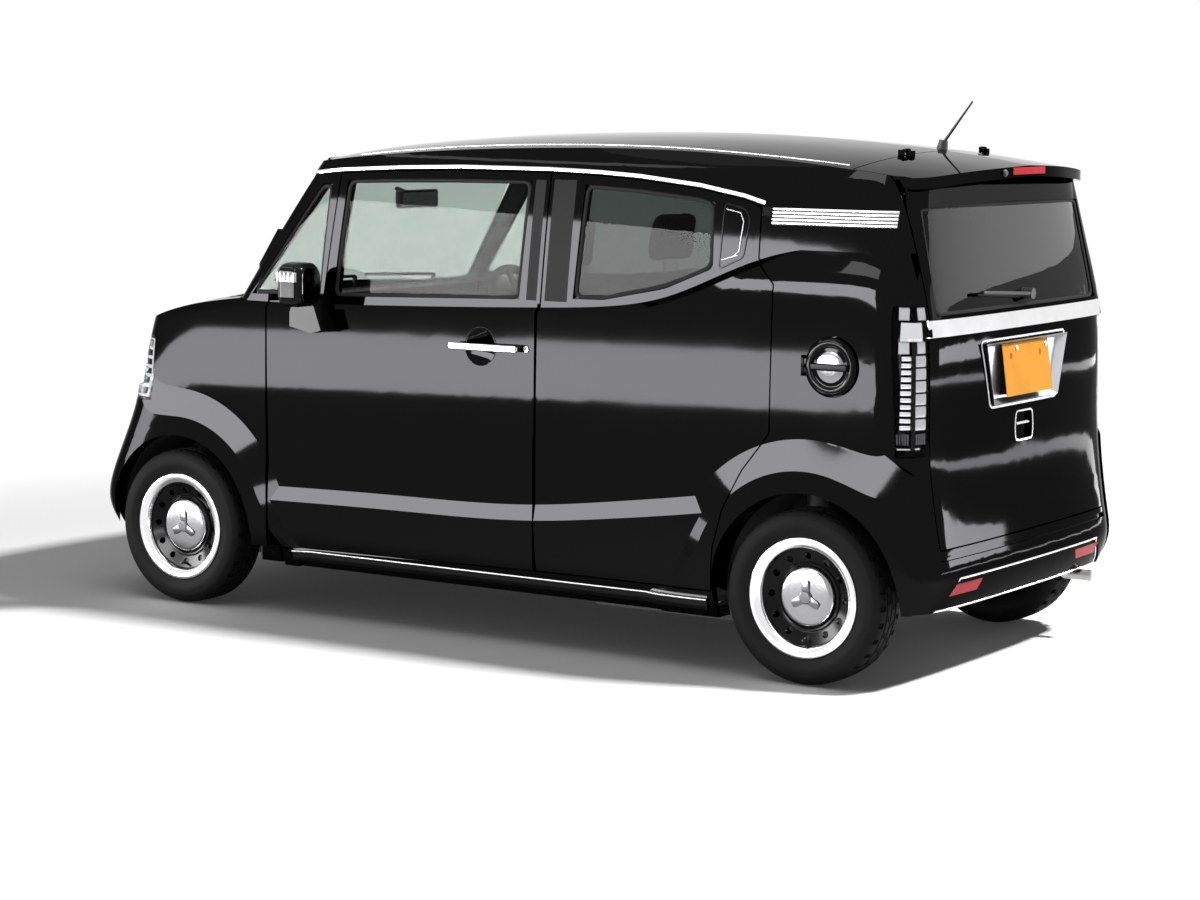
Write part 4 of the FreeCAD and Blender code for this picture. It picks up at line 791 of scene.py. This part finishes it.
fuelCap = {
    "centre": (-1.352, 0.716, 0.985), "rings": ((0.083, 0.0024), (0.064, 0.003)),
    "rim": ((0.002, 0.0806), (0.01, 0.08), (0.012, 0.076), (0.012, 0.07), (0.01, 0.0645),
            (0.002, 0.0641)),
    "dish": ((0.004, 0.0605), (0.006, 0.06), (0.0045, 0.052), (0.0035, 0.04), (0.003, 0.0)),
    "knob": ((0.003, 0.0475), (0.008, 0.047), (0.0105, 0.042), (0.0125, 0.025), (0.013, 0.0)),
    "bar": ((-0.052, 0.003, -0.0115), (0.034, 0.018, 0.0115)), "barBevel": 0.008,
}


def buildFuelCap():
    centre = Vector(fuelCap["centre"])
    with single("fuel_cap_rings", chrome, "fuel_lid", smooth=50) as build:
        for outer, width in fuelCap["rings"]:
            turned(build, ((0.002, outer), (0.0105, outer - 0.0005), (0.0125, outer - width / 2),
                           (0.0105, outer - width + 0.0005), (0.002, outer - width)), centre, 96)
    with single("fuel_cap_dish", blackGloss, "fuel_lid", smooth=50) as build:
        turned(build, fuelCap["rim"], centre, 96)
        turned(build, fuelCap["dish"], centre, 64, closed=False)
    with single("fuel_cap_lever", brushed, "fuel_lid", smooth=50) as build:
        turned(build, fuelCap["knob"], centre, 64, closed=False)
        low, high = (centre + Vector(end) for end in fuelCap["bar"])
        block(build, low, high, fuelCap["barBevel"], 4)


buildFuelCap()


# Tail lamps: chrome ribs on the side, a ribbed reflector behind, and a chrome band over and under them.

tailLamp = {
    "sideX": (-1.574, -1.602), "rearY": (0.616, 0.668), "heights": (0.802, 1.03), "inset": 0.012,
    "depth": 0.008, "sideRibs": (11, 0.62), "rearRibs": (6, 0.86),  # how many, and their share of a step
    "bands": ((1.072, 1.128), (0.745, 0.752)), "bandInset": 0.0084,
    "bandX": (-1.568, -1.588, -1.602), "bandY": (0.602, 0.642, 0.668),
}


def buildTailLamp():
    skin = skinOf("tail_lamps")
    low, high = tailLamp["heights"]
    for name, finish, carry, ends, (ribs, share) in (
            ("tail_lamp_side_ribs", chrome, fromLeft, tailLamp["sideX"], tailLamp["sideRibs"]),
            ("tail_lamp_reflector", satin, fromBehind, tailLamp["rearY"], tailLamp["rearRibs"])):
        with pair(name, finish) as build:
            width = (high - low) / ribs * share
            for z in middles(low, high, ribs):
                run = carry(skin, [(across, z) for across in spread(*ends, 3)], -tailLamp["inset"])
                sweep(build, run, width, tailLamp["depth"])
    with pair("tail_lamp_bands", chrome) as build:
        for low, high in tailLamp["bands"]:
            for carry, stops in ((fromLeft, tailLamp["bandX"]), (fromBehind, tailLamp["bandY"])):
                run = carry(skin, [(across, (low + high) / 2) for across in stops], -tailLamp["bandInset"])
                sweep(build, run, high - low, tailLamp["depth"])


buildTailLamp()
print("tail lamps filled")


# Tailgate: silver plate recess, plate screws, handle, stop lamp and washer jet.

gateTrim = {
    # Plate recess: its outer and inner half outlines, the middle's height, each outline's x, the rim
    "recess": ((0.233, 0.846), (0.294, 1.043)), "recessInner": ((0.214, 0.862), (0.27, 1.027)),
    "recessZ": 0.9445, "linerX": (-1.6615, -1.6355), "linerDepth": 0.0008,
    "linerShare": (0.99, 0.985), "rimShare": (1.03, 1.06), "rimRadius": 0.018,
    "rimBead": (0.0005, 0.03, 0.008, 0.005),
    # Plate screws: the lean of the plate, its middle, and half the spacing of the screws
    "lean": math.radians(8), "plate": (-1.662, 0.95), "screws": (0.105, 0.068),
    "screw": ((-0.001, 0.0085), (0.002, 0.0085), (0.0045, 0.006), (0.0052, 0.0)),
    "handle": ((0.052, 0.726), (0.058, 0.76), (0.052, 0.808)), "handleZ": 0.767, "handleShare": 1.13,
    "handleRadius": 0.014, "handleBead": (0.001, 0.02, 0.0055, 0.004),
    "pull": ((-0.045, 0.772), (0.045, 0.772)), "pullBead": (0.006, None, 0.01, 0.008),
    "stopLamp": (-0.115, 0.115, 1.556, 1.578), "lampDepth": 0.004,
    "jet": (-2.5, 0.17, 1.562),
    "jetProfile": ((-0.004, 0.009), (0.004, 0.0085), (0.008, 0.006), (0.009, 0.0)),
}


def mirroredOutline(half):
    return [(-y, z) for y, z in half] + [(y, z) for y, z in reversed(half)]


def scaled(outline, middle, across, up):
    return [(y * across, middle + (z - middle) * up) for y, z in outline]


def buildPlateRecess(skin):
    outerLine, innerLine = (mirroredOutline(gateTrim[key]) for key in ("recess", "recessInner"))
    outerX, innerX = gateTrim["linerX"]
    middle = gateTrim["recessZ"]
    with single("plate_recess_liner", silver, "tailgate", smooth=25) as build:
        outerRing = [build.verts.new((outerX, y, z)) for y, z in
                     scaled(outerLine, middle, *gateTrim["linerShare"])]
        innerRing = [build.verts.new((innerX, y, z)) for y, z in innerLine]
        edges = []
        for ring in (outerRing, innerRing):
            edges += [build.edges.new(two) for two in zip(ring, ring[1:] + ring[:1])]
        bmesh.ops.bridge_loops(build, edges=edges)
        build.faces.new(innerRing)
        bmesh.ops.recalc_face_normals(build, faces=build.faces)
        bmesh.ops.solidify(build, geom=build.faces[:], thickness=gateTrim["linerDepth"])
    with single("plate_recess_rim", satin, "tailgate") as build:
        rim = scaled(softCorners(outerLine, gateTrim["rimRadius"]), middle, *gateTrim["rimShare"])
        bead(build, fromBehind, skin, rim, *gateTrim["rimBead"], closed=True)


def buildGateTrim():
    skin = skinOf("tailgate")
    buildPlateRecess(skin)
    with single("plate_screws", steel, "tailgate") as build:
        lean, (x, z), (across, up) = gateTrim["lean"], gateTrim["plate"], gateTrim["screws"]
        for y in (-across, across):
            for rise in (-up, up):
                foot = (x - rise * math.sin(lean), y, z + rise * math.cos(lean))
                turned(build, gateTrim["screw"], foot, 20, axis=(-math.cos(lean), 0, math.sin(lean)),
                       up=(0, 1, 0), closed=False)
    with single("gate_handle_trim", chrome, "tailgate") as build:
        grip = softCorners(mirroredOutline(gateTrim["handle"]), gateTrim["handleRadius"])
        grip = scaled(grip, gateTrim["handleZ"], gateTrim["handleShare"], gateTrim["handleShare"])
        bead(build, fromBehind, skin, grip, *gateTrim["handleBead"], closed=True)
        bead(build, fromBehind, skin, gateTrim["pull"], *gateTrim["pullBead"])
    with single("high_stop_lamp", redLens, "tailgate") as build:
        left, right, low, high = gateTrim["stopLamp"]
        rows = [fromBehind(skin, [(left, z), (right, z)], 0.001, 0.02) for z in spread(low, high, 3)]
        panel(build, rows, gateTrim["lampDepth"])
    with single("washer_jet", blackTrim, "tailgate") as build:
        point, normal = struck(skin, gateTrim["jet"], (1, 0, 0))[0]
        turned(build, gateTrim["jetProfile"], point, 24, axis=normal, up=normal.orthogonal(), closed=False)


# Rear bumper: outlined insert with two red reflectors.

bumperTrim = {
    "outline": ((-0.59, 0.249), (-0.5, 0.345), (0.5, 0.345), (0.59, 0.249)),
    "outlineBead": (0.0005, 0.03, 0.006, 0.005),
    "foot": ((-0.59, 0.249), (0.59, 0.249)), "footBead": (0.0005, 0.03, 0.008, 0.006),
    "reflector": (0.352, 0.536), "rows": ((0.292, 0.012), (0.309, 0), (0.326, -0.012)), "lensDepth": 0.006,
}


def buildBumperTrim():
    skin = skinOf("rear_bumper")
    with single("bumper_outline", chrome, "body") as build:
        for line in ("outline", "foot"):
            bead(build, fromBehind, skin, bumperTrim[line], *bumperTrim[line + "Bead"])
    for side, sign in (("left", 1), ("right", -1)):
        with single(f"rear_reflector_{side}", redLens, "body") as build:
            near, far = bumperTrim["reflector"]
            rows = [fromBehind(skin, [(sign * (y + slant), z) for y in (near, far)], 0.001, 0.02)
                    for z, slant in bumperTrim["rows"]]
            panel(build, rows, bumperTrim["lensDepth"])


buildGateTrim()
buildBumperTrim()
print("tail dressed")


# Headlamps: bowl, chrome frame, slats, side pockets and projector behind the clear cover.

headlamp = {
    "middle": (1.31, 0.47),
    # Bowl: bearings, then height and depth of each row
    "bowl": (-3, 68), "bowlDepth": 0.002,
    "bowlRows": ((0.728, 0.008), (0.738, 0.03), (0.826, 0.044), (0.915, 0.03), (0.925, 0.008)),
    # Frame: bearings, inset, then height and width of its long sides, ends' heights and width, depth
    "frame": (-4.5, 70), "frameInset": -0.005, "frameLong": ((0.727, 0.012), (0.926, 0.009)),
    "frameEnds": (0.726, 0.927), "endWidth": 0.009, "frameDepth": 0.007,
    "slats": (34, 68), "slatZ": (0.762, 0.892, 5), "slatInset": -0.016, "slatSize": (0.013, 0.008),
    "pocketZ": (0.746, 0.908), "pockets": (44, 56), "pocketArc": 8, "pocketInset": -0.014,
    "pocketSize": (0.018, 0.008),
    "lens": (1.4935, 0.545, 0.826), "lensAxis": (1, 0.14, 0),
    "ring": ((-0.02, 0.074), (0.004, 0.076), (0.01, 0.073), (0.008, 0.066), (-0.012, 0.058),
             (-0.016, 0.052), (-0.026, 0.052)),
    "dome": ((-0.022, 0.051), (-0.01, 0.05), (0.000, 0.042), (0.006, 0.028), (0.008, 0.0)),
}


def buildHeadlamp():
    skin, middle, inset = skinOf("headlamps"), headlamp["middle"], headlamp["frameInset"]
    with pair("headlamp_bowl", smoked) as build:
        angles = spread(*headlamp["bowl"], 15)
        rows = [wrapped(skin, middle, angles, z, -depth) for z, depth in headlamp["bowlRows"]]
        panel(build, rows, headlamp["bowlDepth"])
    with pair("headlamp_frame", chrome) as build:
        for z, width in headlamp["frameLong"]:
            sweep(build, wrapped(skin, middle, spread(*headlamp["frame"], 19), z, inset), width,
                  headlamp["frameDepth"])
        for angle in headlamp["frame"]:
            post = upright(skin, middle, angle, spread(*headlamp["frameEnds"], 7), inset)
            sweep(build, post, headlamp["endWidth"], headlamp["frameDepth"])
    with pair("headlamp_slats", chrome) as build:
        for z in spread(*headlamp["slatZ"]):
            run = wrapped(skin, middle, spread(*headlamp["slats"], 9), z, headlamp["slatInset"])
            sweep(build, run, *headlamp["slatSize"])
    with pair("headlamp_pockets", silver) as build:
        for z in headlamp["pocketZ"]:
            for start in headlamp["pockets"]:
                arc = spread(start, start + headlamp["pocketArc"], 3)
                run = wrapped(skin, middle, arc, z, headlamp["pocketInset"])
                sweep(build, run, *headlamp["pocketSize"])
    axis = Vector(headlamp["lensAxis"]).normalized()
    with pair("projector_ring", chrome) as build:
        turned(build, headlamp["ring"], headlamp["lens"], 64, axis)
    with pair("projector_lens", clearLens) as build:
        turned(build, headlamp["dome"], headlamp["lens"], 48, axis, closed=False)


buildHeadlamp()


# Front trim: edges of the grille slots, strips of the lower intake, fog lamps and ribs of the cowl.

noseTrim = {
    "slots": (0.722, 0.767, 0.812, 0.857), "slotEdges": (-0.004, 0.026), "slotHalf": 0.411,
    "slotBead": (0.0004, 0.05, 0.005, 0.003),
    "intake": ((0.254, 0.392), (0.35, 0.414)), "intakeBead": (0.0006, 0.05, 0.007, 0.005),
    "fogLamp": (2.5, 0.56, 0.345),
    "fogRing": ((-0.003, 0.044), (0.003, 0.044), (0.0055, 0.041), (0.004, 0.036), (-0.002, 0.034)),
    "fogLens": ((-0.003, 0.0335), (0.001, 0.033), (0.0032, 0.024), (0.004, 0.0)),
    "cowlRibs": 26, "cowlHalf": 0.52, "cowlX": (1.012, 1.052), "cowlBead": (0.0003, None, 0.006, 0.004),
}


def buildNoseTrim():
    with single("grille_slot_edges", satin, "body") as build:
        skin, half = skinOf("grille"), noseTrim["slotHalf"]
        for z in noseTrim["slots"]:
            for edge in noseTrim["slotEdges"]:
                bead(build, fromFront, skin, [(-half, z + edge), (half, z + edge)], *noseTrim["slotBead"])
    bumperSkin = skinOf("front_bumper")
    with single("intake_trim", chrome, "body") as build:
        for z, half in noseTrim["intake"]:
            bead(build, fromFront, bumperSkin, [(-half, z), (half, z)], *noseTrim["intakeBead"])
    point, normal = struck(bumperSkin, noseTrim["fogLamp"], (-1, 0, 0))[0]
    up = normal.orthogonal().normalized()
    with pair("fog_lamp_ring", chrome) as build:
        turned(build, noseTrim["fogRing"], point, 48, axis=normal, up=up)
    with pair("fog_lamp_lens", clearLens) as build:
        turned(build, noseTrim["fogLens"], point, 40, axis=normal, up=up, closed=False)
    with single("cowl_ribs", blackTrim, "body") as build:
        skin, half = skinOf("cowl"), noseTrim["cowlHalf"]
        for y in spread(-half, half, noseTrim["cowlRibs"]):
            run = [(x, y) for x in spread(*noseTrim["cowlX"], 4)]
            bead(build, fromAbove, skin, run, *noseTrim["cowlBead"], corners=6)


buildNoseTrim()
print("nose dressed")


# The tail lamps' clear cap and block, black corner strip and crystal foot.

lampMore = {
    "middle": (-1.5, 0.565), "sides": ((117, 131), (143, 156)), "edgeSize": (0.004, 0.006),
    "blocks": (("tail_lamp_cap", satin, 1.136, 1.171, -0.009),
               ("tail_lamp_block", clearLens, 1.036, 1.068, -0.008)), "blockDepth": 0.004,
    "corner": 137, "cornerZ": (0.745, 1.066, 12), "cornerInset": -0.004, "cornerSize": (0.013, 0.006),
    "footZ": (0.762, 0.794, 3), "footInset": -0.009, "footSize": (0.006, 0.005),
}


def buildLampMore():
    skin, middle = skinOf("tail_lamps"), lampMore["middle"]
    sides = [spread(*ends, 5) for ends in lampMore["sides"]]
    for name, finish, low, high, lift in lampMore["blocks"]:
        with pair(name, finish) as build:
            for angles in sides:
                for z in (low, high):
                    sweep(build, wrapped(skin, middle, angles, z, lift), *lampMore["edgeSize"])
                run = wrapped(skin, middle, angles, (low + high) / 2, lift)
                sweep(build, run, high - low, lampMore["blockDepth"])
    with pair("tail_lamp_corner", blackGloss) as build:
        heights = spread(*lampMore["cornerZ"])
        strip = upright(skin, middle, lampMore["corner"], heights, lampMore["cornerInset"])
        sweep(build, strip, *lampMore["cornerSize"])
    with pair("tail_lamp_foot", smoked) as build:
        for angle in sum(sides, []):
            post = upright(skin, middle, angle, spread(*lampMore["footZ"]), lampMore["footInset"])
            sweep(build, post, *lampMore["footSize"])


buildLampMore()


# Satin film on the pillars between the doors: its fore and aft edges and its heights.

pillars = {
    "front": ((-0.212, -0.252), (1.135, 1.52)), "rear": ((-0.284, -0.37), (1.135, 1.522)),
    "lift": 0.0004, "depth": 0.0008,
}


def buildPillarFilm():
    for end in ("front", "rear"):
        edges, heights = pillars[end]
        skin = skinOf(end + "_door_left")
        with pair(end + "_pillar_film", pillarFilm, end + "_door") as build:
            rows = [fromLeft(skin, [(x, z) for x in spread(*edges, 5)], pillars["lift"])
                    for z in spread(*heights, 14)]
            panel(build, rows, pillars["depth"])


buildPillarFilm()
print("lamps and pillars finished")


# Seats: padded cushions, backs and headrests blown up as cloth, with piping, bases and stems.

seats = {
    # Hip point x, middle y, half width, cushion height, back's top, headrest's top, base height
    "front": (0.06, 0.32, 0.23, 0.62, 1.19, 1.39, 0.48),
    "rear": (-0.76, 0.28, 0.258, 0.64, 1.15, 1.33, 0.5),
    "headHalf": 0.118, "floor": 0.212,
    # Stuffing: remesh size, cloth pressure, slack, stiffness, frames, most lift
    "voxel": 0.012, "pressure": 4.0, "slack": -0.02, "stiffness": 12, "frames": 20, "cap": 0.012,
    # Seams at this share of the half width and this wide, the sewn border, and piping inside the edge
    "seamAt": 0.62, "seamHalf": 0.007, "border": 0.01, "pipingInset": 0.016, "pipingRadius": 0.03,
    "seamBead": (0.0, 0.02, 0.003, 0.003),
    "stem": ((0.0, 0.0), (0.0, 0.006), (0.1, 0.006), (0.1, 0.0)), "stemHalf": 0.04,
}


def padProfiles(row):
    # Name, half width, edge radius and side profile of each pad
    x, middle, half, cushion, back, top, base = seats[row]
    return (
        ("cushion", half, 0.03, ((x + 0.014, cushion - 0.115), (x + 0.398, cushion - 0.098),
                                  (x + 0.398, cushion + 0.004), (x + 0.014, cushion - 0.012))),
        ("back", half, 0.03, ((x - 0.11, cushion - 0.078), (x - 0.01, cushion - 0.05),
                               (x - 0.138, back - 0.012), (x - 0.22, back - 0.012))),
        ("headrest", seats["headHalf"], 0.024, ((x - 0.152, back + 0.026), (x - 0.216, back + 0.026),
                                                (x - 0.234, top - 0.01), (x - 0.18, top - 0.01))),
    )


def pipingOf(row, name, half):
    # The side that shows a pad's piping, its outline, the ends of its seams and its width
    x, middle, rowHalf, cushion, back, top, base = seats[row]
    inset = seats["pipingInset"]
    left, right = middle - half + inset, middle + half - inset
    return {
        "cushion": (fromAbove, rectangle(x + 0.045, x + 0.375, left, right), (x + 0.05, x + 0.37), 0.006),
        "back": (fromFront, rectangle(left, right, cushion - 0.015, back - 0.04),
                 (cushion - 0.01, back - 0.045), 0.006),
        "headrest": (fromFront, rectangle(left, right, back + 0.045, top - 0.035), (), 0.005),
    }[name]


def frozen(thing):
    return bpy.data.meshes.new_from_object(thing.evaluated_get(bpy.context.evaluated_depsgraph_get()))


def remeshed(build):
    mesh = bpy.data.meshes.new("pad start")
    build.to_mesh(mesh)
    build.free()
    start = bpy.data.objects.new("pad start", mesh)
    bpy.context.scene.collection.objects.link(start)
    remesh = start.modifiers.new("remesh", "REMESH")
    remesh.mode, remesh.voxel_size = "VOXEL", seats["voxel"]
    fine = frozen(start)
    bpy.data.objects.remove(start)
    soft = bmesh.new()
    soft.from_mesh(fine)
    for i in range(3):
        bmesh.ops.smooth_vert(soft, verts=soft.verts, factor=0.5, use_axis_x=True, use_axis_y=True,
                              use_axis_z=True)
    soft.to_mesh(fine)
    soft.free()
    pad = bpy.data.objects.new("pad", fine)
    bpy.context.scene.collection.objects.link(pad)
    return pad


def sewn(pad, middle, half):
    # Seam lines that the filling doesn't lift: two along the panel, and the sewn border of its sides
    seam = pad.vertex_groups.new(name="seams")
    line = half * seats["seamAt"]
    for vertex in pad.data.vertices:
        away = abs(vertex.co.y - middle)
        if abs(away - line) < seats["seamHalf"] or away > half - seats["border"]:
            seam.add([vertex.index], 1.0, "REPLACE")
    stuffing = pad.modifiers.new("stuffing", "CLOTH")
    settings = stuffing.settings
    settings.quality, settings.mass = 5, 0.3
    settings.use_pressure, settings.uniform_pressure_force = True, seats["pressure"]
    settings.shrink_min, settings.vertex_group_mass = seats["slack"], "seams"
    settings.tension_stiffness = settings.compression_stiffness = seats["stiffness"]
    settings.effector_weights.gravity = 0
    stuffing.point_cache.frame_start, stuffing.point_cache.frame_end = 1, seats["frames"]


def buildPads():
    pads = []
    for row in ("front", "rear"):
        middle = seats[row][1]
        for name, half, radius, profile in padProfiles(row):
            build = bmesh.new()
            plate(build, [(x, middle - half, z) for x, z in profile], 2 * half, (0, 1, 0), radius, 4)
            bmesh.ops.recalc_face_normals(build, faces=build.faces)
            pad = remeshed(build)
            sewn(pad, middle, half)
            pads.append((row, name, half, middle, pad))
    for step in range(1, seats["frames"] + 1):
        bpy.context.scene.frame_set(step)
    finished = []
    for row, name, half, middle, pad in pads:
        start = [vertex.co.copy() for vertex in pad.data.vertices]
        blown = frozen(pad)
        for vertex, before in zip(blown.vertices, start):
            move = vertex.co - before
            if move.length > seats["cap"]:
                vertex.co = before + move.normalized() * seats["cap"]
        bpy.data.objects.remove(pad)
        soft = bmesh.new()
        soft.from_mesh(blown)
        finished.append((row, name, half, middle, soft))
    bpy.context.scene.frame_set(1)
    return finished


def buildSeatFrame(row):
    x, middle, half, cushion, back, top, base = seats[row]
    floor = seats["floor"]
    with pair(f"{row}_seat_base", blackTrim, replaces=[row + "_seats"]) as build:
        block(build, (x - 0.05, middle - half + 0.055, floor + 0.03),
              (x + 0.325, middle + half - 0.055, base), 0.022, 4)
        for side in (-1, 1):  # side shields and floor rails
            y = middle + side * (half - 0.04)
            rail = y - 0.05 * side
            block(build, (x - 0.08, y - 0.014, cushion - 0.19), (x + 0.3, y + 0.014, cushion - 0.118),
                  0.01, 3)
            block(build, (x - 0.055, rail - 0.016, floor), (x + 0.328, rail + 0.016, floor + 0.034),
                  0.005, 2)
    with pair(f"{row}_headrest_stems", chrome) as build:
        for y in (middle - seats["stemHalf"], middle + seats["stemHalf"]):
            turned(build, seats["stem"], (x - 0.186, y, back - 0.045), 20, axis=(0, 0, 1), up=(1, 0, 0),
                   closed=False)


def buildSeats():
    for row, name, half, middle, soft in buildPads():
        skin = BVHTree.FromBMesh(soft)
        for made in bothSides(soft, f"{row}_seat_{name}", cloth, replaces=[row + "_seats"], smooth=60):
            crown = made.modifiers.new("crown", "SUBSURF")
            crown.levels = crown.render_levels = 1
        carry, edge, seam, width = pipingOf(row, name, half)
        with pair(f"{row}_seat_{name}_piping", thread) as build:
            bead(build, carry, skin, softCorners(edge, seats["pipingRadius"]), 0.0, 0.02, width, width,
                 closed=True)
            for y in (middle - half * seats["seamAt"], middle + half * seats["seamAt"]) if seam else ():
                run = [(far, y) if name == "cushion" else (y, far) for far in seam]
                bead(build, carry, skin, run, *seats["seamBead"])
    for row in ("front", "rear"):
        buildSeatFrame(row)


buildSeats()
print("seats padded")


# Cabin and rear wiper: dials, screen, air vents, mirror glass and wiper rubber.

cabin = {
    "dials": (-0.455, -0.205, 0.905, 1.000), "screen": (-0.11, 0.11, 0.85, 0.965), "faceDepth": 0.004,
    "dialInset": 0.065, "dialRadius": 0.042, "dialBead": (0.006, None, 0.004, 0.004),
    "vents": ((-0.575, -0.485), (0.15, 0.24), (0.485, 0.575)), "ventZ": (0.9, 0.915, 0.93, 0.945),
    "ventBead": (0.003, 0.02, 0.008, 0.008),
    "mirror": (-0.105, 0.105, 1.394, 1.441), "mirrorRadius": 0.02, "mirrorDepth": 0.0012,
    "wiper": ((0.01, 1.17), (0.296, 1.19)), "wiperBead": (0.003, 0.04, 0.007, 0.008),
}


def buildCabin():
    skin = skinOf("dashboard")
    for name, finish in (("dials", dial), ("screen", blackGloss)):
        left, right, low, high = cabin[name]
        with single("dash_" + name, finish, "body") as build:
            rows = [fromBehind(skin, [(left, z), (right, z)], 0.001, 0.02) for z in spread(low, high, 5)]
            panel(build, rows, cabin["faceDepth"])
    with single("dial_rings", chrome, "body") as build:
        left, right, low, high = cabin["dials"]
        for y in (left + cabin["dialInset"], right - cabin["dialInset"]):
            ring = circle(y, (low + high) / 2, cabin["dialRadius"], 32)
            bead(build, fromBehind, skin, ring, *cabin["dialBead"], closed=True)
    with single("air_vents", blackGloss, "body") as build:
        for ends in cabin["vents"]:
            for z in cabin["ventZ"]:
                bead(build, fromBehind, skin, [(y, z) for y in ends], *cabin["ventBead"])
    with single("cabin_mirror_glass", darkMirror, "body") as build:
        outline = softCorners(rectangle(*cabin["mirror"]), cabin["mirrorRadius"])
        spots = fromBehind(skinOf("interior_mirror"), outline, 0.0008)
        plate(build, [point for point, normal in spots], cabin["mirrorDepth"], (-1, 0, 0))
    with single("rear_wiper_rubber", rubber, "tailgate") as build:
        bead(build, fromBehind, skinOf("tailgate_glass"), cabin["wiper"], *cabin["wiperBead"])


buildCabin()
print("cabin dressed")
